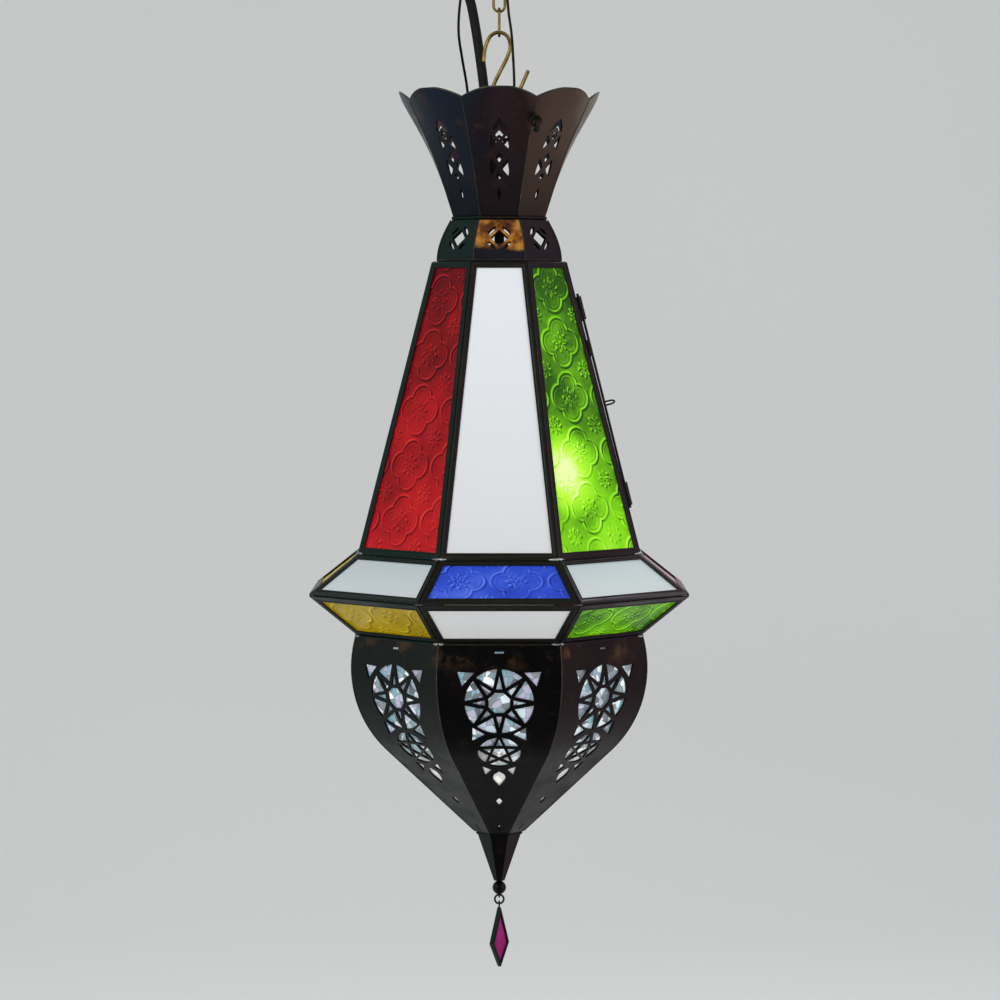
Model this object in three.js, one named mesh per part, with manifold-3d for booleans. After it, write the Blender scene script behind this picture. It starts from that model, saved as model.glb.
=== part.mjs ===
// Glass pendant lamp: an eight-sided lantern of coloured glass panes in dark metal cames.
// It hangs from a ceiling rose by a hook, two chain links and an S-hook.
// Millimetres, +Z up, origin on the ceiling face, the flat front of the lamp towards -Y.
import * as THREE from "three";
import { mergeVertices } from "three/addons/utils/BufferGeometryUtils.js";
import Module from "manifold-3d";

const wasm = await Module();
wasm.setup();

// Clearances
const SEAT = 0.3; // between two pieces that rest on each other
const FIT = 0.3; // round a pane in its rebate, or a wire in its hole
const DOOR_GAP = 0.6; // round the door

// Ceiling fitting
const PLATE_RADIUS = 30;
const PLATE_THICK = 3;
const SCREW_SLOT_WIDTH = 4.8; // the slots are twice as long
const SCREW_SLOT_OUT = 21; // from the axis to the middle of each slot
const BOSS_RADIUS = 7;
const BOSS_DEPTH = 9;
const ROSE_RADIUS = 42;
const ROSE_FLAT_RADIUS = 35;
const ROSE_DEPTH = 22;
const ROSE_WALL = 1.2;
const HOOK_WIRE = 4;
const HOOK_BEND = 9; // radius of the bend, to the middle of the wire
const HOOK_DROP = 55.4; // ceiling to the middle of the wire at the bottom of the bend
const HOOK_SCREWED_IN = 5;
const NUT_RADIUS = 5.6;
const NUT_THICK = 3.4;
const ROSE_GRIP_X = -24;
const ROSE_GRIP_Y = 12;
const GRIP_RADIUS = 7;
const GRIP_NECK_RADIUS = 4.8;
const GRIP_LENGTH = 12;

// Chain, S-hook and cross rod
const LINK_LENGTH = 20.4;
const LINK_WIDTH = 9.5;
const LINK_WIRE = 1.9;
const S_HOOK_WIRE = 2.6;
const S_HOOK_DROP = 50.4; // between the wire's middle at the top bend and at the bottom bend
const ROD_WIRE = 3;
const ROD_RISE = 12.3; // the rod is bowed up in the middle
const ROD_HOLE_RADIUS = 2.2;
const ROD_HOLE_REACH = 8; // to each side of the crown's wall
const ROD_TURN = THREE.MathUtils.degToRad(22.5); // from -Y towards +X, to the seam of two petals

// Cords
const CABLE_DIAMETER = 6.6;
const CABLE_IN_GRIP = 4; // length of cable inside each cord grip
const SAFETY_WIRE = 1.8;

// Eight-sided lamp: sizes across are from the axis to the middle of a face
const SIDES = 8;
const CROWN_HEIGHT = 85.2;
const CROWN_NOTCH = 6.6; // from a petal's tip down to the notch beside it
const CROWN_BASE_FLAT = 30.4;
const CROWN_MOUTH_FLAT = 61.5;
const CROWN_WALL = 1.4;
const PETAL_BOW = 6.3; // how far a petal bulges at its tip
const ROD_HOLE_HEIGHT = 65.6; // above the crown's base
const COLLAR_HEIGHT = 29;
const COLLAR_FOOT_FLAT = 41.6;
const COLLAR_WALL = 1.4;
const COLLAR_MOTIF_HEIGHT = 15.4; // above the collar's foot, to the motif's middle
const COLLAR_LOZENGE_WIDTH = 12;
const COLLAR_LOZENGE_HEIGHT = 11.4;
const COLLAR_SLOT_LENGTH = 7.6;
const COLLAR_SLOT_WIDTH = 2.4;
const COLLAR_BAR = 1.7; // between the lozenge and each slot
const BODY_HEIGHT = 194.9;
const BODY_TOP_FLAT = 45.3;
const BODY_FOOT_FLAT = 94.5;
const BODY_FLANGE_FLAT = 33; // opening in the top of the body
const FLANGE_THICK = 1.6;
const UPPER_BELT_HEIGHT = 26.8;
const RIM_FLAT = 127.3;
const LOWER_BELT_HEIGHT = 28.2;
const LOWER_BELT_FOOT_FLAT = 95.2;

// Glass and the cames that hold it
const CAME_WALL = 3.2;
const CAME_WIDTH = 4.4; // seen on each side of a seam
const RIM_CAME_WIDTH = 6.8; // where the two belts meet
const CAME_LIP = 1; // metal in front of the pane
const GLASS = 1.4;
const GLASS_LAP = 1.8; // pane hidden behind the lip
const SEAM_WIDTH = 0.8;
const SEAM_DEPTH = 0.8;

// Pierced bowl
const BOWL_FLAT = 98.9;
const BOWL_EQUATOR_DROP = 21.2; // from the bowl's rim down to its widest place
const BOWL_CURVE = 80; // radius of the hip, which ends in a straight 45 degree cone
const BOWL_TIP_FLAT = 16.6;
const BOWL_WALL = 1.5;
const BOWL_RIM_WIDTH = 4;
const STAR_STRAP = 2.3;
const SMALL_STAR_STRAP = 1.7;
const LINER_GLASS = 2;
const LINER_TOP_DROP = 8;
const LINER_TIP_FLAT = 27;

// Finial and drop
const FINIAL_HEIGHT = 34.8;
const FINIAL_TOP_FLAT = 15.6;
const FINIAL_TIP_FLAT = 3.6;
const FINIAL_WALL = 1.2;
const BALL_RADIUS = 4.7;
const EYE_HOLE_RADIUS = 1.3;
const EYE_RADIUS = 2.5;
const EYE_THICK = 2;
const RING_WIRE = 1.4;
const RING_RADIUS = 3.05;
const DROP_HEIGHT = 41.4;
const DROP_WIDEST = 25; // below the top of the kite
const DROP_HALF_WIDTH = 8;
const DROP_THICK = 4.5;
const DROP_CAME = 1.8;
const DROP_TURN = THREE.MathUtils.degToRad(45);

// Door
const DOOR_ENDS = 3; // metal of the body above and below the door
const DOOR_SIDES = 0.3; // from the corner to the doorway
const DOOR_FACE = 2; // counted from the front towards +X, an eighth of a turn each
const HINGE_RADIUS = 2.1;
const HINGE_PIN = 1.8;
const HINGE_OFFSET = 2.6;
const HINGE_LEAF = 9;
const LEAF_THICK = 1.4;
const LEAF_SUNK = 0.6; // into the came it is soldered to
const LEAF_SEAT = 1.4; // from the corner to the came it lies on
const LEAF_PAST = 1; // past the corner, into its knuckle
const LEAF_CLEAR = 0.45; // off the neighbouring came
const KNUCKLE_LENGTH = 8;
const CATCH_LENGTH = 11;
const PULL_REACH = 8;
const PULL_WIRE = 1.2;
const PULL_BEND = 1.2;

// Lampholder and lamp
const BRIDGE_WIDTH = 15;
const BRIDGE_THICK = 2;
const NIPPLE_RADIUS = 5;
const NIPPLE_BORE = 3.9;
const NIPPLE_DROP = 14; // from the bridge to the holder's cap
const NIPPLE_SCREWED_IN = 6; // into the grip above and the cap below
const GRIP_ON_NIPPLE = 2; // how much longer the holder's grip is than the rose's
const HOLDER_RADIUS = 20;
const HOLDER_WALL = 1.6;
const HOLDER_CAP_HEIGHT = 22;
const HOLDER_SKIRT_HEIGHT = 36;
const SCREW_RADIUS = 13.1;
const SCREW_HEIGHT = 26;
const LAMP_RADIUS = 30;
const LAMP_LENGTH = 82; // of the glass

const EIGHTH = (2 * Math.PI) / SIDES;
const CORNER = 1 / Math.cos(EIGHTH / 2); // corner radius over the distance to the flat
const HALF_FACE = Math.tan(EIGHTH / 2); // half a face's width over the distance to the flat
const DIAGONAL = Math.SQRT1_2;

// Heights that follow from the sizes above
const hookBottomZ = -HOOK_DROP;
const upperLinkTopZ = hookBottomZ + (HOOK_WIRE + LINK_WIRE) / 2 + SEAT;
const linkPitch = LINK_LENGTH - LINK_WIRE;
const upperLinkBottomZ = upperLinkTopZ - linkPitch;
const lowerLinkTopZ = upperLinkBottomZ + LINK_WIRE + SEAT;
const lowerLinkBottomZ = lowerLinkTopZ - linkPitch;
const sHookTopZ = lowerLinkBottomZ + (LINK_WIRE + S_HOOK_WIRE) / 2 + SEAT;
const sHookBottomZ = sHookTopZ - S_HOOK_DROP;
const rodMiddleZ = sHookBottomZ + (S_HOOK_WIRE + ROD_WIRE) / 2 + SEAT;
const crownBaseZ = rodMiddleZ - ROD_RISE - ROD_HOLE_HEIGHT;
const bodyTopZ = crownBaseZ - COLLAR_HEIGHT;
const bodyFootZ = bodyTopZ - BODY_HEIGHT;
const rimZ = bodyFootZ - UPPER_BELT_HEIGHT;
const bowlTopZ = rimZ - LOWER_BELT_HEIGHT;
const bowlEquatorZ = bowlTopZ - BOWL_EQUATOR_DROP;
const bowlCurveFlat = BOWL_FLAT - BOWL_CURVE; // where the hip's centre lies
const coneStartFlat = bowlCurveFlat + BOWL_CURVE * DIAGONAL;
const coneStartZ = bowlEquatorZ - BOWL_CURVE * DIAGONAL;
const bowlTipZ = coneStartZ - (coneStartFlat - BOWL_TIP_FLAT);
const finialTipZ = bowlTipZ - FINIAL_HEIGHT;
const ballZ = finialTipZ - BALL_RADIUS - SEAT;
const eyeZ = ballZ - BALL_RADIUS;
const ringTopZ = eyeZ - EYE_HOLE_RADIUS + RING_WIRE / 2 + SEAT;
const ringZ = ringTopZ - RING_RADIUS;
const dropEyeZ = ringZ - RING_RADIUS + RING_WIRE / 2 + SEAT - EYE_HOLE_RADIUS;
const dropTopZ = dropEyeZ - EYE_RADIUS + 0.6;

// Solids

// A closed geometry as a solid that can be joined and cut, with its faces turned outwards.
function solid(geometry) {
  const bare = geometry.index ? geometry.toNonIndexed() : geometry.clone();
  bare.deleteAttribute("normal");
  bare.deleteAttribute("uv");
  const welded = mergeVertices(bare, 1e-4);
  const corners = welded.index.array;
  const triangles = [];
  for (let i = 0; i < corners.length; i += 3) {
    const [a, b, c] = corners.slice(i, i + 3);
    if (a !== b && b !== c && c !== a) triangles.push([a, b, c]);
  }
  const vertProperties = welded.attributes.position.array;
  const build = (list) => {
    const triVerts = new Uint32Array(list.flat());
    return new wasm.Manifold(new wasm.Mesh({ numProp: 3, vertProperties, triVerts }));
  };
  const made = build(triangles);
  return made.volume() < 0 ? build(triangles.map(([a, b, c]) => [a, c, b])) : made;
}

const joined = (...solids) => solids.reduce((whole, next) => whole.add(next));
const cut = (whole, ...cutters) => cutters.flat().reduce((left, next) => left.subtract(next), whole);

// Makes the same cuts in every face: the solid is turned, so that each face comes to the front in turn.
function cutEachFace(whole, ...cutters) {
  return faceNumbers.reduce((left) => cut(left, ...cutters).rotate([0, 0, 360 / SIDES]), whole);
}

// A solid's surface as a plain geometry.
function geometryOf(made) {
  const mesh = made.getMesh();
  const geometry = new THREE.BufferGeometry();
  geometry.setAttribute("position", new THREE.BufferAttribute(mesh.vertProperties, 3));
  geometry.setIndex(new THREE.BufferAttribute(mesh.triVerts, 1));
  const flat = geometry.toNonIndexed();
  flat.computeVertexNormals();
  return flat;
}

// A revolved profile of [radius, z] points about Z, which closes on itself or starts and ends on the axis.
function revolved(profile, segments) {
  const onAxis = profile[0][0] === 0;
  const points = onAxis ? profile : [...profile, profile[0]];
  const geometry = new THREE.LatheGeometry(
    points.map(([r, z]) => new THREE.Vector2(r, z)),
    segments,
    Math.PI / segments,
  );
  return geometry.rotateX(Math.PI / 2);
}

// The same with eight flat faces, for a profile of [distance to the flat, z] points.
const faceted = (profile) =>
  revolved(
    profile.map(([flat, z]) => [flat * CORNER, z]),
    SIDES,
  );

const cylinder = (radius, bottom, top, segments) =>
  revolved([[0, bottom], [radius, bottom], [radius, top], [0, top]], segments);

function polygon(points) {
  return new THREE.Shape(points.map(([x, y]) => new THREE.Vector2(x, y)));
}

// A flat shape given a thickness between two heights on its own z axis.
function prism(shape, from, to) {
  const geometry = new THREE.ExtrudeGeometry(shape, { depth: to - from, bevelEnabled: false });
  return geometry.translate(0, 0, from);
}

function disc(radius, sides) {
  const turns = Array.from({ length: sides }, (_, i) => (i * 2 * Math.PI) / sides);
  return polygon(turns.map((turn) => [radius * Math.cos(turn), radius * Math.sin(turn)]));
}

// A round wire along a smooth open route.
function wire(points, diameter, sides, steps) {
  const route = new THREE.CatmullRomCurve3(
    points.map(([x, y, z]) => new THREE.Vector3(x, y, z)),
    false,
    "centripetal",
  );
  const along = { steps, extrudePath: route, bevelEnabled: false };
  return new THREE.ExtrudeGeometry(disc(diameter / 2, sides), along);
}

// A closed wire whose centre line lies flat in the XZ plane, given as [x, z] points and outward directions.
function wireLoop(centreLine, diameter, sides) {
  const positions = [];
  const index = [];
  const rings = centreLine.length;
  for (const { at, out } of centreLine) {
    for (let j = 0; j < sides; j += 1) {
      const turn = (j * 2 * Math.PI) / sides;
      const reach = (diameter / 2) * Math.cos(turn);
      positions.push(at[0] + out[0] * reach, (diameter / 2) * Math.sin(turn), at[1] + out[1] * reach);
    }
  }
  for (let i = 0; i < rings; i += 1) {
    for (let j = 0; j < sides; j += 1) {
      const a = i * sides + j;
      const b = i * sides + ((j + 1) % sides);
      const c = ((i + 1) % rings) * sides + j;
      const d = ((i + 1) % rings) * sides + ((j + 1) % sides);
      index.push(a, b, c, b, d, c);
    }
  }
  const geometry = new THREE.BufferGeometry();
  geometry.setAttribute("position", new THREE.Float32BufferAttribute(positions, 3));
  geometry.setIndex(index);
  return geometry;
}

// A long or round link: two half circles, a straight length apart.
function loopLine(radius, straight, steps) {
  const line = [];
  for (const end of [1, -1]) {
    for (let i = 0; i <= steps; i += 1) {
      const turn = (end > 0 ? 0 : Math.PI) + (i * Math.PI) / steps;
      const out = [Math.cos(turn), Math.sin(turn)];
      line.push({ at: [radius * out[0], radius * out[1] + (end * straight) / 2], out });
    }
  }
  return straight > 0 ? line : line.filter((_, i) => i !== steps && i !== 2 * steps + 1);
}

// Faces of the lamp

const azimuth = (face) => face * EIGHTH;
const acrossFace = (face) => new THREE.Vector3(Math.cos(azimuth(face)), Math.sin(azimuth(face)), 0);
const outOfFace = (face) => new THREE.Vector3(Math.sin(azimuth(face)), -Math.cos(azimuth(face)), 0);
const UP = new THREE.Vector3(0, 0, 1);
const faceNumbers = Array.from({ length: SIDES }, (_, i) => i);

// One ring of sloping faces between two heights, with the widths of its cames.
function ringOfFaces(topFlat, topZ, footFlat, footZ, topCame, footCame) {
  const length = Math.hypot(footFlat - topFlat, topZ - footZ);
  return { topFlat, topZ, footFlat, footZ, length, topCame, footCame };
}

// The frame of a face: x across it, y up its slope from the middle of its top edge, z out of it.
function faceFrame(ring, face) {
  const out = outOfFace(face);
  const slope = out
    .clone()
    .multiplyScalar(ring.topFlat - ring.footFlat)
    .addScaledVector(UP, ring.topZ - ring.footZ)
    .normalize();
  const across = acrossFace(face);
  const normal = across.clone().cross(slope);
  const origin = out.clone().multiplyScalar(ring.topFlat).addScaledVector(UP, ring.topZ);
  return new THREE.Matrix4().makeBasis(across, slope, normal).setPosition(origin);
}

// A face's outline, drawn in from its side edges, its top and its foot.
function faceOutline(ring, fromSides, fromTop, fromFoot) {
  const top = ring.topFlat * HALF_FACE;
  const foot = ring.footFlat * HALF_FACE;
  const taper = (foot - top) / ring.length;
  const half = (down) => top + taper * down - fromSides * Math.hypot(1, taper);
  const low = ring.length - fromFoot;
  return polygon([
    [-half(fromTop), -fromTop],
    [-half(low), -low],
    [half(low), -low],
    [half(fromTop), -fromTop],
  ]);
}

// The outline of a face's window, or one that laps behind the cames round it.
function windowOutline(ring, lap) {
  return faceOutline(ring, CAME_WIDTH - lap, ring.topCame - lap, ring.footCame - lap);
}

const onFace = (ring, face, geometry) => geometry.applyMatrix4(faceFrame(ring, face));

// A pane lies behind the came's lip.
function pane(ring, face) {
  const front = -(CAME_LIP + SEAT);
  return onFace(ring, face, prism(windowOutline(ring, GLASS_LAP), front - GLASS, front));
}

// What the front pane needs cut out of the came: the window, and the rebate behind the lip.
function paneCutters(ring) {
  const through = -(CAME_WALL + 2);
  const window = prism(windowOutline(ring, 0), through, 1);
  const rebate = prism(windowOutline(ring, GLASS_LAP + FIT), through, -CAME_LIP);
  return [solid(onFace(ring, 0, window)), solid(onFace(ring, 0, rebate))];
}

// A corner of the ring of faces, as two points.
function cornerLine(ring, corner) {
  const turn = azimuth(corner + 0.5);
  const out = new THREE.Vector3(Math.sin(turn), -Math.cos(turn), 0);
  const top = out.clone().multiplyScalar(ring.topFlat * CORNER).addScaledVector(UP, ring.topZ);
  const foot = out.clone().multiplyScalar(ring.footFlat * CORNER).addScaledVector(UP, ring.footZ);
  const along = top.clone().sub(foot).normalize();
  const across = out.clone().cross(along).normalize();
  const normal = along.clone().cross(across).normalize();
  return { top, foot, along, across, normal };
}

// The dark seam between the front panel's cames and the next one's.
function seamGroove(ring) {
  const { foot, along, across, normal } = cornerLine(ring, 0);
  const start = foot.clone().addScaledVector(along, -5);
  const box = prism(
    polygon([
      [-SEAM_WIDTH / 2, -SEAM_DEPTH],
      [SEAM_WIDTH / 2, -SEAM_DEPTH],
      [SEAM_WIDTH / 2, 1],
      [-SEAM_WIDTH / 2, 1],
    ]),
    0,
    ring.length + 12,
  );
  return solid(box.applyMatrix4(new THREE.Matrix4().makeBasis(across, normal, along).setPosition(start)));
}

// The plain sloping wall of a ring of faces.
function wall(ring, thick) {
  const level = (thick * ring.length) / (ring.topZ - ring.footZ);
  return solid(
    faceted([
      [ring.footFlat, ring.footZ],
      [ring.topFlat, ring.topZ],
      [ring.topFlat - level, ring.topZ],
      [ring.footFlat - level, ring.footZ],
    ]),
  );
}

// Openings that go level through the front face: outlines of [x, z] points.
function openingsThrough(outlines, near, far) {
  return outlines.map((points) => solid(prism(polygon(points), near, far).rotateX(Math.PI / 2)));
}

const mirrored = (points) => points.map(([x, y]) => [-x, y]).reverse();

// Draws a convex outline in by the same distance all round.
function drawnIn(points, distance) {
  const count = points.length;
  const area = points.reduce((sum, [x, y], i) => {
    const [nx, ny] = points[(i + 1) % count];
    return sum + x * ny - nx * y;
  }, 0);
  const side = Math.sign(area);
  const lines = points.map(([x, y], i) => {
    const [nx, ny] = points[(i + 1) % count];
    const length = Math.hypot(nx - x, ny - y);
    const normal = [(-side * (ny - y)) / length, (side * (nx - x)) / length];
    return { normal, reach: normal[0] * x + normal[1] * y + distance };
  });
  return lines.map((line, i) => {
    const before = lines[(i + count - 1) % count];
    const det = before.normal[0] * line.normal[1] - before.normal[1] * line.normal[0];
    return [
      (before.reach * line.normal[1] - line.reach * before.normal[1]) / det,
      (before.normal[0] * line.reach - line.normal[0] * before.reach) / det,
    ];
  });
}

// A star in a circle: its middle, its rays and the openings between ray and circle.
function star(centre, radius, rays, core, strap) {
  const at = (r, turn) => [r * Math.sin(turn), centre - r * Math.cos(turn)];
  const step = (2 * Math.PI) / rays;
  const rim = radius + strap / 2;
  const turns = Array.from({ length: rays }, (_, i) => i * step);
  const middle = turns.map((turn) => at(core, turn + step / 2));
  const outlines = [drawnIn(middle, strap / 2)];
  for (const turn of turns) {
    const ray = [at(core, turn - step / 2), at(core, turn + step / 2), at(rim, turn)];
    const gap = [at(core, turn + step / 2), at(rim, turn + step), at(rim, turn + step / 2), at(rim, turn)];
    outlines.push(drawnIn(ray, strap / 2), drawnIn(gap, strap / 2));
  }
  return outlines;
}

// Ceiling fitting

function ceilingPlate() {
  const blank = joined(
    solid(cylinder(PLATE_RADIUS, -PLATE_THICK, 0, 24)),
    solid(cylinder(BOSS_RADIUS, -BOSS_DEPTH, -PLATE_THICK + 0.5, 16)),
  );
  const bore = solid(cylinder(HOOK_WIRE / 2 + FIT, -BOSS_DEPTH - 1, -BOSS_DEPTH + HOOK_SCREWED_IN + FIT, 12));
  const slots = [1, -1].map((side) => {
    const slot = prism(disc(SCREW_SLOT_WIDTH / 2, 10), -PLATE_THICK - 1, 1);
    return solid(slot.scale(2, 1, 1).translate(side * SCREW_SLOT_OUT, 0, 0));
  });
  return cut(blank, bore, slots);
}

function ceilingRose() {
  const bottom = -ROSE_DEPTH;
  const rim = -SEAT;
  const holeRadius = HOOK_WIRE / 2 + FIT;
  const cup = solid(
    revolved(
      [
        [holeRadius, bottom],
        [ROSE_FLAT_RADIUS, bottom],
        [ROSE_RADIUS - 2, bottom * 0.6],
        [ROSE_RADIUS, rim],
        [ROSE_RADIUS - ROSE_WALL, rim],
        [ROSE_RADIUS - ROSE_WALL - 2, bottom * 0.6],
        [ROSE_FLAT_RADIUS - ROSE_WALL / 2, bottom + ROSE_WALL],
        [holeRadius, bottom + ROSE_WALL],
      ],
      24,
    ),
  );
  const hole = cylinder(GRIP_NECK_RADIUS + FIT, bottom - 1, bottom + ROSE_WALL + 1, 12);
  return cut(cup, solid(hole.translate(ROSE_GRIP_X, ROSE_GRIP_Y, 0)));
}

// The shank runs down on the axis, round the far side of the bend and up to an open tip.
function ceilingHook() {
  const centreZ = hookBottomZ + HOOK_BEND;
  const bend = (degrees) => {
    const turn = THREE.MathUtils.degToRad(degrees);
    return [0, HOOK_BEND * Math.cos(turn), centreZ + HOOK_BEND * Math.sin(turn)];
  };
  const shoulderZ = centreZ + HOOK_BEND;
  const shank = [
    [0, 0, -BOSS_DEPTH + HOOK_SCREWED_IN],
    [0, 0, -ROSE_DEPTH - SEAT],
    [0, 0, -ROSE_DEPTH - NUT_THICK - 1],
    [0, 0, shoulderZ + HOOK_WIRE],
  ];
  const turns = [40, 0, -45, -90, -135, 180, 150].map(bend);
  return solid(wire([...shank, ...turns], HOOK_WIRE, 8, 22));
}

// A hexagonal nut with a round bore.
function hookNut() {
  const top = -ROSE_DEPTH - SEAT;
  const foot = top - NUT_THICK;
  const bore = solid(cylinder(HOOK_WIRE / 2 + FIT, foot - 1, top + 1, 12));
  return cut(solid(cylinder(NUT_RADIUS, foot, top, 6)), bore);
}

// A cord grip hangs below what it is screwed through, with its neck above.
function cordGrip(topZ, neckLength) {
  const bore = CABLE_DIAMETER / 2 + FIT;
  return solid(
    revolved(
      [
        [bore, topZ - GRIP_LENGTH],
        [GRIP_RADIUS - 1.5, topZ - GRIP_LENGTH],
        [GRIP_RADIUS, topZ - GRIP_LENGTH + 3],
        [GRIP_RADIUS, topZ],
        [GRIP_NECK_RADIUS, topZ],
        [GRIP_NECK_RADIUS, topZ + neckLength],
        [bore, topZ + neckLength],
      ],
      16,
    ),
  );
}

const roseGripTopZ = -ROSE_DEPTH - SEAT;
const roseGripMouthZ = roseGripTopZ - GRIP_LENGTH;

// Chain, S-hook and cross rod

function chainLink(topZ, turned) {
  const radius = (LINK_WIDTH - LINK_WIRE) / 2;
  const link = wireLoop(loopLine(radius, linkPitch - 2 * radius, 7), LINK_WIRE, 8);
  if (turned) link.rotateZ(Math.PI / 2);
  return solid(link.translate(0, 0, topZ - linkPitch / 2));
}

// The S-hook's centre line in its plane, down from the top bend.
function sHook() {
  const line = [
    [-10.5, -19.5], [-9.3, -10], [-5.4, -2.1], [0, 0], [5.2, -2.4], [7.5, -9.3], [5.2, -17.2], [0.2, -27],
    [-4, -36], [-5.6, -42], [-4.4, -47.8], [0, -S_HOOK_DROP], [6.4, -49], [11.4, -43.6], [14.7, -36.6],
    [19.4, -26],
  ];
  const points = line.map(([x, down]) => [x, 0, sHookTopZ + down]);
  return solid(wire(points, S_HOOK_WIRE, 6, 28));
}

const rodEndRadius = crownFlat(ROD_HOLE_HEIGHT / CROWN_HEIGHT) * CORNER;
const rodEndZ = rodMiddleZ - ROD_RISE;
const rodDirection = [Math.sin(ROD_TURN), -Math.cos(ROD_TURN)];

// A point of the rod's bow, at a signed distance from the axis.
function onRod(distance) {
  const share = distance / rodEndRadius;
  return [rodDirection[0] * distance, rodDirection[1] * distance, rodMiddleZ - ROD_RISE * share * share];
}

// The rod runs from seam to seam, and its ends are curled over outside the crown.
function crossRod() {
  const curl = (side) =>
    [[4.5, -1.6], [7.5, -4.6], [6.6, -8.6], [3.4, -8.8]].map(([out, down]) => {
      const [x, y] = onRod(side * (rodEndRadius + out));
      return [x, y, rodEndZ + down];
    });
  const bow = [-1, -0.75, -0.5, -0.25, 0, 0.25, 0.5, 0.75, 1].map((share) => onRod(share * rodEndRadius));
  return solid(wire([...curl(-1).reverse(), ...bow, ...curl(1)], ROD_WIRE, 6, 28));
}

function rodHoles() {
  const across = new THREE.Vector3(-rodDirection[1], rodDirection[0], 0);
  const along = new THREE.Vector3(rodDirection[0], rodDirection[1], 0);
  return [1, -1].map((side) => {
    const tunnel = prism(disc(ROD_HOLE_RADIUS, 10), -ROD_HOLE_REACH, ROD_HOLE_REACH);
    const lean = side * Math.atan((2 * ROD_RISE) / rodEndRadius);
    const place = new THREE.Matrix4().makeBasis(across, UP, along);
    tunnel.rotateX(lean).translate(0, 0, side * rodEndRadius);
    return solid(tunnel.applyMatrix4(place).translate(0, 0, rodEndZ));
  });
}

// Cords, whose points are chosen by hand from the rose to the lampholder

const CABLE_ROUTE = [
  [-24, 12, roseGripMouthZ + CABLE_IN_GRIP],
  [-24, 12, roseGripMouthZ - 8],
  [-22.4, 11.8, -54],
  [-19.2, 11.4, -64],
  [-15.8, 10.8, -82],
  [-12.8, 9.8, -102],
  [-10.4, 8.4, -121],
  [-8.8, 6.6, -140],
  [-6.4, 4.4, -162],
  [-3.2, 2, -184],
  [-0.8, 0.5, -204],
];

const SAFETY_ROUTE = [
  [-20.2, 46, -138.2],
  [-21, 40.6, -131],
  [-22.2, 30, -118],
  [-25.3, 17, -100],
  [-27.4, 9, -85],
  [-27, 5, -70],
  [-24.8, 3.6, -56],
  [-19.5, 3.6, -43],
  [-10.3, 3.8, -33],
  [-1.2, 3.9, -29.9],
  [4.2, 3, -32.6],
  [6.6, -0.8, -42],
  [5.4, -3.8, -56],
  [6.1, -6, -70],
  [8.2, -9.6, -86],
  [9.4, -14.4, -104],
  [10, -19, -120],
  [9.6, -22.6, -131.8],
];

// Crown of petals

// The distance to the flat of a petal at a share of the crown's height.
function crownFlat(share) {
  const flare = 0.86 * share + 0.42 * share ** 4 - 0.28 * share ** 8;
  return CROWN_BASE_FLAT + (CROWN_MOUTH_FLAT - CROWN_BASE_FLAT) * flare;
}

// One level ring of the crown: three facets to each petal, bowed out more towards the tips.
function crownRing(share, inset) {
  const flat = crownFlat(share) - inset;
  const bow = PETAL_BOW * share ** 2;
  const ring = [];
  for (const face of faceNumbers) {
    const at = (radius, part) => {
      const turn = azimuth(face) + part * EIGHTH;
      return [radius * Math.sin(turn), -radius * Math.cos(turn), share * CROWN_HEIGHT];
    };
    const third = Math.atan(HALF_FACE / 2.2);
    const reach = (flat + bow) / Math.cos(third);
    ring.push(at(flat * CORNER, -0.5), at(reach, -third / EIGHTH), at(reach, third / EIGHTH));
  }
  return ring;
}

// A closed skin through rings of as many points each, the last ring joined to the first.
function skin(rings) {
  const positions = rings.flat(2);
  const count = rings[0].length;
  const index = [];
  for (let i = 0; i < rings.length; i += 1) {
    for (let j = 0; j < count; j += 1) {
      const a = i * count + j;
      const b = i * count + ((j + 1) % count);
      const c = ((i + 1) % rings.length) * count + j;
      const d = ((i + 1) % rings.length) * count + ((j + 1) % count);
      index.push(a, b, c, b, d, c);
    }
  }
  const geometry = new THREE.BufferGeometry();
  geometry.setAttribute("position", new THREE.Float32BufferAttribute(positions, 3));
  geometry.setIndex(index);
  return geometry;
}

// The openings of one petal: a lancet of lozenges and leaves, with a slit below it.
function petalOpenings() {
  const cap = [[0, 65.2], [-5.8, 56.9], [0, 59.4], [5.8, 56.9]];
  const lozenge = (middle, tall, wide) => [
    [0, middle + tall], [-wide, middle], [0, middle - tall], [wide, middle],
  ];
  const upperLeaf = [[6, 54.8], [1.9, 49.8], [6.2, 45.2]];
  const lowerLeaf = [[6, 39.4], [1.6, 33.4], [6.2, 27.4]];
  return [
    cap,
    lozenge(54, 2.9, 2.7),
    upperLeaf,
    mirrored(upperLeaf),
    lozenge(39.8, 3.5, 2.7),
    lowerLeaf,
    mirrored(lowerLeaf),
    lozenge(27.6, 2.4, 2.3),
    lozenge(16, 4.2, 1.3),
  ];
}

// What is cut away above the scalloped top of one petal.
function scallop() {
  const notchHeight = CROWN_HEIGHT - CROWN_NOTCH;
  const half = crownFlat(notchHeight / CROWN_HEIGHT) * HALF_FACE;
  const radius = (half * half + CROWN_NOTCH * CROWN_NOTCH) / (2 * CROWN_NOTCH);
  const reach = Math.asin(half / radius);
  const arc = Array.from({ length: 5 }, (_, i) => {
    const turn = reach * (i / 2 - 1);
    return [radius * Math.sin(turn), CROWN_HEIGHT - radius + radius * Math.cos(turn)];
  });
  const edge = (height) => crownFlat(height / CROWN_HEIGHT) * HALF_FACE + 0.2;
  const upperEdge = [
    [edge(notchHeight), notchHeight - 0.2],
    [edge(CROWN_HEIGHT), CROWN_HEIGHT],
    [edge(CROWN_HEIGHT), CROWN_HEIGHT + 8],
  ];
  return [...arc, ...upperEdge, ...mirrored(upperEdge)];
}

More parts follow.
